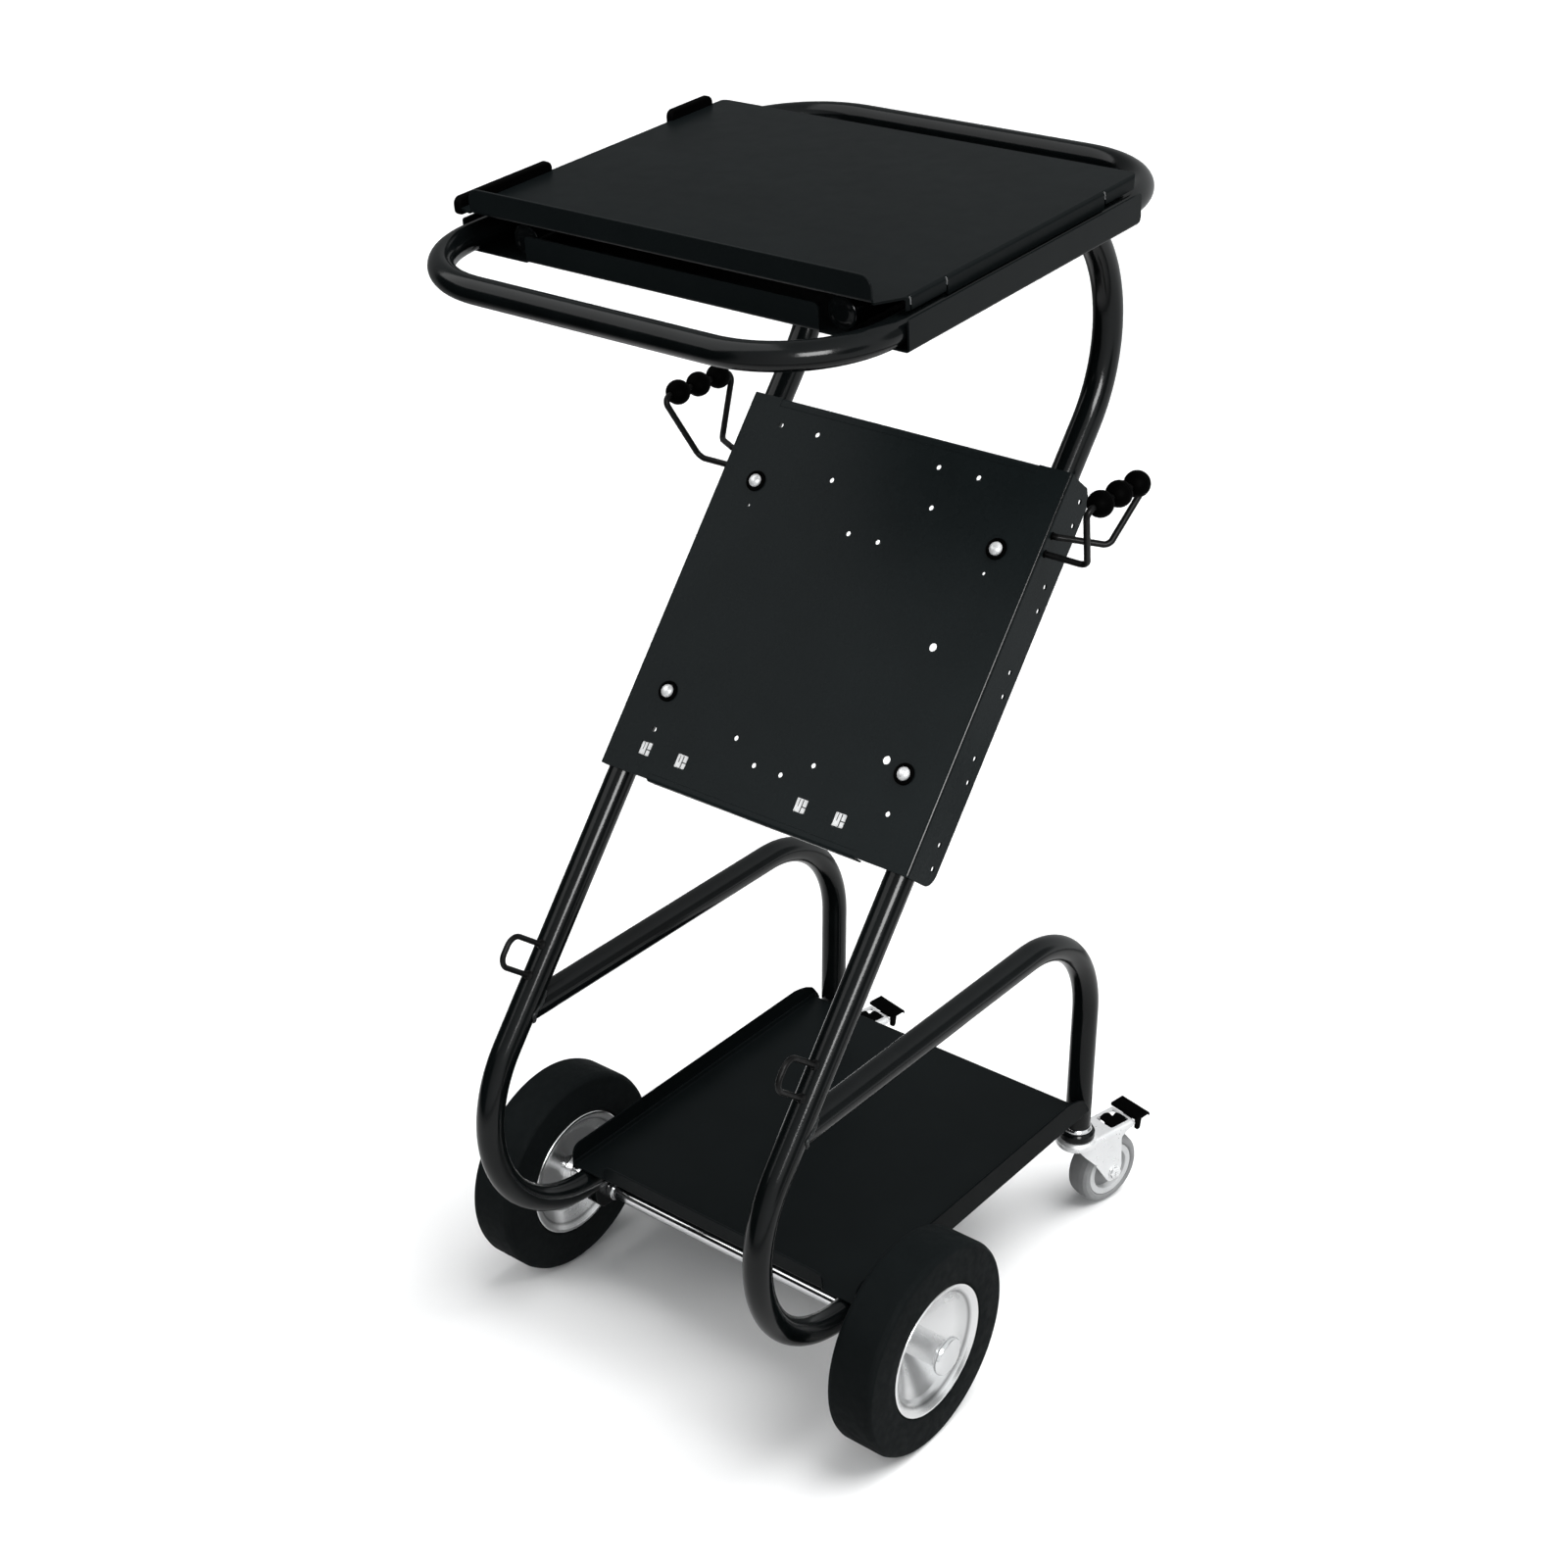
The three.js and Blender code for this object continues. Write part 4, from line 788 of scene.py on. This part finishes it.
# ------------------------------------------------------------------ bottle tray
Z0 = 134.8
sh = bent(Shape(W), [(-164.0, 141.5), (-164.0, Z0), (164.0, Z0), (164.0, 141.5)], -386, -15, 1, 1, 2.4)
c = Shape(W)
block(c, -128, 128, -395, -382, 128, 139)
piece("tray_sheet", sh, TRAYM, "cart", ["bottle_tray"], cut=(c,), bevel=0.35)
for side, k in SIDES_OF:
    xs = sorted((k * 164.1, k * 166.0))
    wall = prism(Shape(W), round_outline([(-386, 129.8), (-5.5, 129.8), (-6.5, 132.4), (-10.5, 139), (-17.2, 147.6), (-27, 152.6), (-37, 155.6), (-47, 157.5), (-386, 157.5)], [4, 1, 1, 6, 6, 8, 8, 8, 10]), xs[0], xs[1], 0)
    piece(f"tray_{side}_wall", wall, WALLM, "cart", (), bevel=0.5, seg=3)
lip = bent(Shape(W), [(-382, Z0), (-386, Z0), (-386, 151.3)], -128, 128, 0, -1, 3.2)
cl = Shape(W)
for k in (-1, 1):
    corner(cl, k * 120, 143.3, 8, k, 1, -395, -375, 1)
piece("tray_lip", lip, SHEETM, "cart", (), cut=(cl,), bevel=0.35)

# ------------------------------------------------------------------ axle and large wheels
WY, WZ, WX, H, R = -355.8, 100.6, 208.3, 23.5, 100.6
axle = soft([(0, -241.2), (8, -241.2), (8, 241.2), (0, 241.2)], 0.8)
piece("axle_rod", lathe(Shape(), axle, (0, WY, WZ), 0, 48), CHROME, "cart", ["axle"])
for side, k in SIDES_OF:
    x0, x1 = sorted((k * (FRAME_X - 6), k * (FRAME_X + 8)))
    outline = round_outline([(WY - 24, 121), (WY - 21, WZ - 6), (WY - 13, WZ - 15), (WY + 13, WZ - 15), (WY + 21, WZ - 6), (WY + 24, 121)], [0, 8, 9, 9, 8, 0])
    hole = rod(Shape(), WY, WZ, 8.3, x0 - 4, x1 + 4, 0, 40)
    piece(f"{side}_bracket_block", prism(Shape(), outline, x0, x1, 0), TUBE, "cart", [f"{side}_axle_bracket"], cut=(hole,), bevel=0.9, seg=3)
    collar = soft([(8.2, -3.2), (9.7, -3.2), (9.7, 3.2), (8.2, 3.2), (8.2, -3.2)], 0.5)
    piece(f"{side}_collar_ring", lathe(Shape(), collar, (k * (FRAME_X - 9.5), WY, WZ), 0, 56), CHROME, "cart", [f"{side}_axle_collar"])

    rim = soft([
        (8.4, -H + 2), (13.5, -H + 2), (13.5, -H + 9.5), (43, -H + 10), (59.6, -H), (62.0, -H), (62.7, -H + 1.2), (62.0, -H + 2.6),
        (56.0, -H + 6.4), (56.0, H - 6.4), (62.2, H - 2.5), (62.8, H - 1.0), (62.0, H + 0.3), (60.6, H + 0.3), (57.4, H - 1.8), (51.6, H - 7.0),
        (49.2, H - 10.0), (17.5, -H + 13.2), (14.0, -H + 16.5), (13.5, -H + 20), (13.5, H + 4.4), (12.8, H + 5.0), (10.2, H + 5.2), (10.2, H + 6.4), (8.4, H + 6.4), (8.4, -H + 2)], 1.8)
    piece(f"{side}_wheel_disc", lathe(Shape(), rim, (k * WX, WY, WZ), 0, 144, k), RIM, f"{side}_wheel", [f"{side}_wheel_rim"], sharp=60)
    tyre = soft([
        (56.2, -H + 6.8), (63.1, -H + 2.6), (63.8, -H + 0.4), (65.5, -H - 0.2), (75, -H - 0.4), (96.8, -H + 0.5), (99.4, -H + 2.6), (R, -H + 6),
        (R, H - 6), (99.4, H - 2.6), (96.8, H - 0.5), (75, H + 0.4), (65.5, H + 0.2), (63.8, H - 0.4), (63.1, H - 2.6), (56.2, H - 6.8), (56.2, -H + 6.8)], 3.0)
    piece(f"{side}_wheel_rubber", lathe(Shape(), tyre, (k * WX, WY, WZ), 0, 160), TYRE, f"{side}_wheel", [f"{side}_wheel_tyre"], sharp=60)
    c0 = H + 6.8
    cap = soft([(8.2, c0), (17.3, c0), (18.0, c0 + 0.7), (18.0, c0 + 3.2), (16.6, c0 + 5.4), (12.6, c0 + 6.9), (6.5, c0 + 7.6), (0, c0 + 7.8)], 1.2)
    piece(f"{side}_dome_cap", lathe(Shape(), cap, (k * WX, WY, WZ), 0, 64, k), CHROME, "cart", [f"{side}_wheel_cap"], sharp=60)

# ------------------------------------------------------------------ swivel casters
T, CR, CH = 39.4, 37.5, 12.7
for side, k in SIDES_OF:
    at = caster_at(k)
    cup = soft([(0, 91.3), (16.8, 91.3), (17.5, 92.2), (17.5, 97.6), (15.9, 100.2), (0, 100.2)], 1.0)
    piece(f"{side}_bearing_cup", lathe(Shape(at), cup, (0, 0, 0), 2, 72), TUBE, "cart", [f"{side}_caster_cup"])
    ring = soft([(0, 100.5), (14.8, 100.5), (14.8, 102.6), (13.4, 104.7), (0, 104.7)], 0.7)
    piece(f"{side}_bearing_ring", lathe(Shape(at), ring, (0, 0, 0), 2, 72), CHROME, "cart", [f"{side}_caster_collar"])

    body = bent(Shape(at), [(-17.2, 20), (-17.2, 88), (17.2, 88), (17.2, 20)], -20, T + 30, 1, -1, 4.2, 2.6)
    outline = round_outline([(-10, 92), (-11, 83), (-3, 73.5), (11, 59), (T - 14, 38), (T - 7, 28.6), (T + 4, 27.6), (T + 10.2, 41), (T + 8.4, 62), (T + 7.4, 76.4), (T + 13, 80), (T + 25.6, 84.6), (T + 25.6, 92)], [2, 6, 10, 20, 16, 7, 8, 10, 20, 4, 8, 1.5, 2])
    keep = prism(Shape(at), outline, -40, 40, 0)
    slot_cut = prism(Shape(at), round_outline([(-11, T - 1.8), (11, T - 1.8), (11, T + 23), (-11, T + 23)], 2.5), 80, 95, 2)
    hole = rod(Shape(at), T, CR, 4.5, -30, 30, 0, 28)
    piece(f"{side}_fork_body", body, ZINC, f"{side}_caster", [f"{side}_caster_fork"], within=(keep,), cut=(slot_cut, hole), bevel=0.5)
    head = soft([(0, 82), (19.4, 82), (20.7, 83.6), (20.7, 86.2), (20.0, 88.6), (17.6, 90.9), (0, 91)], 1.3)
    piece(f"{side}_fork_head", lathe(Shape(at), head, (0, 0, 0), 2, 72), ZINC, f"{side}_caster", ())

    b = Shape(at)
    o = (0, T, CR)
    lathe(b, [(0, -20.7), (4.6, -20.7), (6.5, -20.0), (6.5, -17.6), (4, -17.5)], o, 0, 6)
    lathe(b, [(4, -17.5), (4, 17.5)], o, 0, 24)
    lathe(b, [(4, 17.5), (7.4, 17.5), (7.4, 18.3), (6.4, 18.4)], o, 0, 32)
    lathe(b, [(3, 18.3), (6.5, 18.3), (6.5, 20.3), (5.6, 21.0), (3.2, 21.0), (3.0, 22.0), (0, 22.1)], o, 0, 6)
    piece(f"{side}_caster_bolt", b, ZINC, f"{side}_caster", [f"{side}_caster_axle_bolt"], sharp=30)

    hub = soft([(4.6, -12.2), (9.2, -12.2), (9.2, -4.8), (20.4, -4.4), (21.6, -11.6), (28.1, -11.8), (28.1, 11.8), (21.6, 11.6), (20.4, 4.4), (9.2, 4.8), (9.2, 12.2), (4.6, 12.2), (4.6, -12.2)], 0.9)
    piece(f"{side}_caster_hub_core", lathe(Shape(at), hub, o, 0, 80), HUB, f"{side}_caster_wheel", [f"{side}_caster_hub"])
    dish = Shape(at)
    for a in (-1, 1):
        lathe(dish, soft([(9.4, a * 4.0), (9.4, a * 6.2), (12.0, a * 5.4), (17.6, a * 5.4), (20.2, a * 6.6), (20.2, a * 4.0), (9.4, a * 4.0)], 0.6), o, 0, 64)
    piece(f"{side}_caster_hub_dish", dish, GREY, f"{side}_caster_wheel", ())
    tyre = soft([(28.3, -11.9), (30.2, -CH), (33.8, -CH + 0.5), (36.4, -CH + 3.0), (CR, -4.5), (CR, 4.5), (36.4, CH - 3.0), (33.8, CH - 0.5), (30.2, CH), (28.3, 11.9), (28.3, -11.9)], 1.6)
    piece(f"{side}_caster_tread", lathe(Shape(at), tyre, o, 0, 112), GREY, f"{side}_caster_wheel", [f"{side}_caster_tyre"], sharp=60)

    # brake: shaped thumb piece over the web, an arm through the slot and a foot plate behind the fork
    p = prism(Shape(at), round_outline([(10.6, T - 0.2), (10.7, T + 7), (9.8, T + 13), (8.4, T + 21.6), (-5.4, T + 21.2), (-1.8, T + 12.6), (-9.0, T + 14.4), (-10.6, T + 8.6), (-8.4, T + 0.4)], [2.4, 3.0, 3.0, 2.4, 4.0, 0.6, 3.0, 2.0, 2.4]), 87.6, 89.6, 2)
    arm = prism(Shape(at), round_outline([(T + 0.6, 82), (T + 8, 79.6), (T + 14, 79.9), (T + 31, 81.7), (T + 31, 88.4), (T + 26.7, 88.4), (T + 26.7, 84.6), (T + 20.5, 84.6), (T + 20.5, 88.6), (T + 0.6, 88.6)], 0.8), -1.2, 8.2, 0)
    foot = prism(Shape(at), round_outline([(T + 26.2, 87.3), (T + 42.0, 89.5), (T + 43.8, 87.3), (T + 45.2, 88.4), (T + 43.0, 92.6), (T + 26.2, 91.3)], [1.2, 1.0, 0.8, 0.8, 2.4, 1.2]), -17.4, 18.4, 0)
    drop = prism(Shape(at), round_outline([(T + 26.4, 77.2), (T + 31.8, 77.2), (T + 33.4, 91), (T + 26.4, 91)], [2.5, 2.5, 1, 1]), 15.4, 18.4, 0)
    piece(f"{side}_brake_thumb", p, PLASTIC, f"{side}_brake_pedal", [f"{side}_caster_pedal"], bevel=0.7)
    piece(f"{side}_brake_arm", arm, PLASTIC, f"{side}_brake_pedal", (), bevel=0.5)
    piece(f"{side}_brake_foot", foot, PLASTIC, f"{side}_brake_pedal", (), join=(drop,), bevel=0.7)

# ------------------------------------------------------------------ floor, light and camera
bm = bmesh.new()
bmesh.ops.create_grid(bm, x_segments=2, y_segments=2, size=30)
me = bpy.data.meshes.new("floor")
bm.to_mesh(me)
bm.free()
floor = bpy.data.objects.new("floor", me)
scene.collection.objects.link(floor)
floor_look = Look("floor_pale", Roughness=0.9, Specular_IOR_Level=0.0)
floor_look.set("Base Color", floor_look.ramp(floor_look.noise(3, 3), (0.3, (0.93, 0.93, 0.93)), (0.7, (0.94, 0.94, 0.94))))
floor.data.materials.append(floor_look.mat)
floor.visible_glossy = floor.visible_diffuse = False

# a patch of floor that only the paint and chrome mirror, with a painted pool of light in its colour: bright round the
# cart, darkening from 0.85 m out to 1.25 m
bm = bmesh.new()
bmesh.ops.create_circle(bm, cap_ends=True, segments=96, radius=1.3)
me = bpy.data.meshes.new("floor_glow")
bm.to_mesh(me)
bm.free()
glow = bpy.data.objects.new("floor_glow", me)
glow.location = (0, 0, 0.0004)
scene.collection.objects.link(glow)
glow_look = Look("floor_lit", Roughness=0.9, Specular_IOR_Level=0.0)
ball = glow_look.t.nodes.new("ShaderNodeVectorMath")
ball.operation = "LENGTH"
glow_look.t.links.new(glow_look.coord, ball.inputs[0])
# colour falls from 0.6 at the middle to 0.05 past 1.25 m: the painted pool of light
glow_look.set("Base Color", glow_look.ramp(glow_look.span(ball.outputs["Value"], 0.0, 1.0, 0.85, 1.25), (0.0, (0.6, 0.6, 0.6)), (1.0, (0.05, 0.05, 0.05))))
glow.data.materials.append(glow_look.mat)
glow.visible_camera = glow.visible_diffuse = glow.visible_shadow = False

# pale paper wall far behind, seen only past the floor's end in low views
bm = bmesh.new()
bmesh.ops.create_cone(bm, cap_ends=False, segments=96, radius1=11.0, radius2=11.0, depth=14.0)
me = bpy.data.meshes.new("paper_wall")
bm.to_mesh(me)
bm.free()
paper = bpy.data.objects.new("paper_wall", me)
paper.location = (0, 0, 6.9)
scene.collection.objects.link(paper)
paper_look = Look("wall_paper", Roughness=0.9, Specular_IOR_Level=0.0, Emission_Strength=0.9)
paper_look.set("Emission Color", paper_look.ramp(paper_look.noise(0.4, 2), (0.3, (0.97, 0.97, 0.97)), (0.7, (1.0, 1.0, 1.0))))
paper.data.materials.append(paper_look.mat)
paper.visible_diffuse = paper.visible_glossy = paper.visible_transmission = paper.visible_shadow = False

world = bpy.data.worlds.new("studio")
scene.world = world
world.use_nodes = True
bg = world.node_tree.nodes["Background"]
wt = world.node_tree
ray = wt.nodes.new("ShaderNodeTexCoord").outputs["Generated"]


def facing(direction, a, b, lo, hi, smooth=False):
    """Value from lo to hi as the ray's share of a direction goes from a to b."""
    d = wt.nodes.new("ShaderNodeVectorMath")
    d.operation = "DOT_PRODUCT"
    d.inputs[1].default_value = Vector(direction).normalized()
    wt.links.new(ray, d.inputs[0])
    m = wt.nodes.new("ShaderNodeMapRange")
    if smooth:
        m.interpolation_type = "SMOOTHSTEP"
    for k, v in (("From Min", a), ("From Max", b), ("To Min", lo), ("To Max", hi)):
        m.inputs[k].default_value = v
    wt.links.new(d.outputs["Value"], m.inputs["Value"])
    return m.outputs["Result"]


# grey-white room, brighter on the right, with a dark wall on the near left
def times(a, b):
    n = wt.nodes.new("ShaderNodeMath")
    n.operation = "MULTIPLY"
    wt.links.new(a, n.inputs[0])
    wt.links.new(b, n.inputs[1])
    return n.outputs["Value"]


room = facing((1.0, 0.1, -0.15), -0.75, 0.75, 0.18, 0.96)
walls = times(room, facing((-0.74, -0.67, -0.02), 0.69, 0.83, 1.0, 0.02, True))
walls = times(walls, facing((1.0, -0.05, 0.04), 0.955, 0.985, 1.0, 0.2, True))
walls = times(walls, facing((0.69, 0.69, 0.22), 0.925, 0.968, 1.0, 0.28, True))
wt.links.new(walls, bg.inputs["Strength"])
bg.inputs["Color"].default_value = (0.97, 0.99, 1.0, 1.0)


def area(name, loc, aim, size, power, size_y=None):
    la = bpy.data.lights.new(name, "AREA")
    la.energy = power
    la.size = size
    if size_y:
        la.shape, la.size_y = "RECTANGLE", size_y
    ob = bpy.data.objects.new(name, la)
    ob.location = loc
    ob.rotation_mode = "QUATERNION"
    ob.rotation_quaternion = (Vector(aim) - Vector(loc)).to_track_quat("-Z", "Y")
    scene.collection.objects.link(ob)
    return ob


sun = bpy.data.lights.new("sky_soft", "SUN")
sun.energy, sun.angle = 3.0, math.radians(50)
so = bpy.data.objects.new("sky_soft", sun)
so.rotation_mode = "QUATERNION"
so.rotation_quaternion = Vector((-0.34, -0.22, -1.0)).to_track_quat("-Z", "Y")
scene.collection.objects.link(so)
so.visible_glossy = False
fill = area("near_left_box", (-1.6, -2.0, 1.8), (0, 0, 0.68), 1.8, 38.0, 1.8)
fill.visible_glossy = False
sky = area("sky_panel", (-1.5, -1.14, 3.1), (0, 0, 0.75), 3.6, 62.0, 3.6)
strip = area("near_right_box", (2.16, -1.62, 2.02), (0, 0, 0.7), 1.1, 78.0, 1.1)
sky.visible_diffuse = strip.visible_diffuse = False

cam = bpy.data.cameras.new("camera")
co = bpy.data.objects.new("camera", cam)
scene.collection.objects.link(co)
AZ, EL = math.radians(38.04), math.radians(27.89)
back = Vector((math.sin(AZ) * math.cos(EL), -math.cos(AZ) * math.cos(EL), math.sin(EL)))
co.location = (1.15666, -1.75454 + SHIFT * MM, 1.54185)
co.rotation_mode = "QUATERNION"
co.rotation_quaternion = (-back).to_track_quat("-Z", "Y")
cam.sensor_width = 36.0
cam.lens = 2532.5 / 1600 * 36.0
cam.clip_start, cam.clip_end = 0.05, 100
scene.camera = co
scene.view_settings.view_transform = "Standard"
scene.view_settings.look = "None"
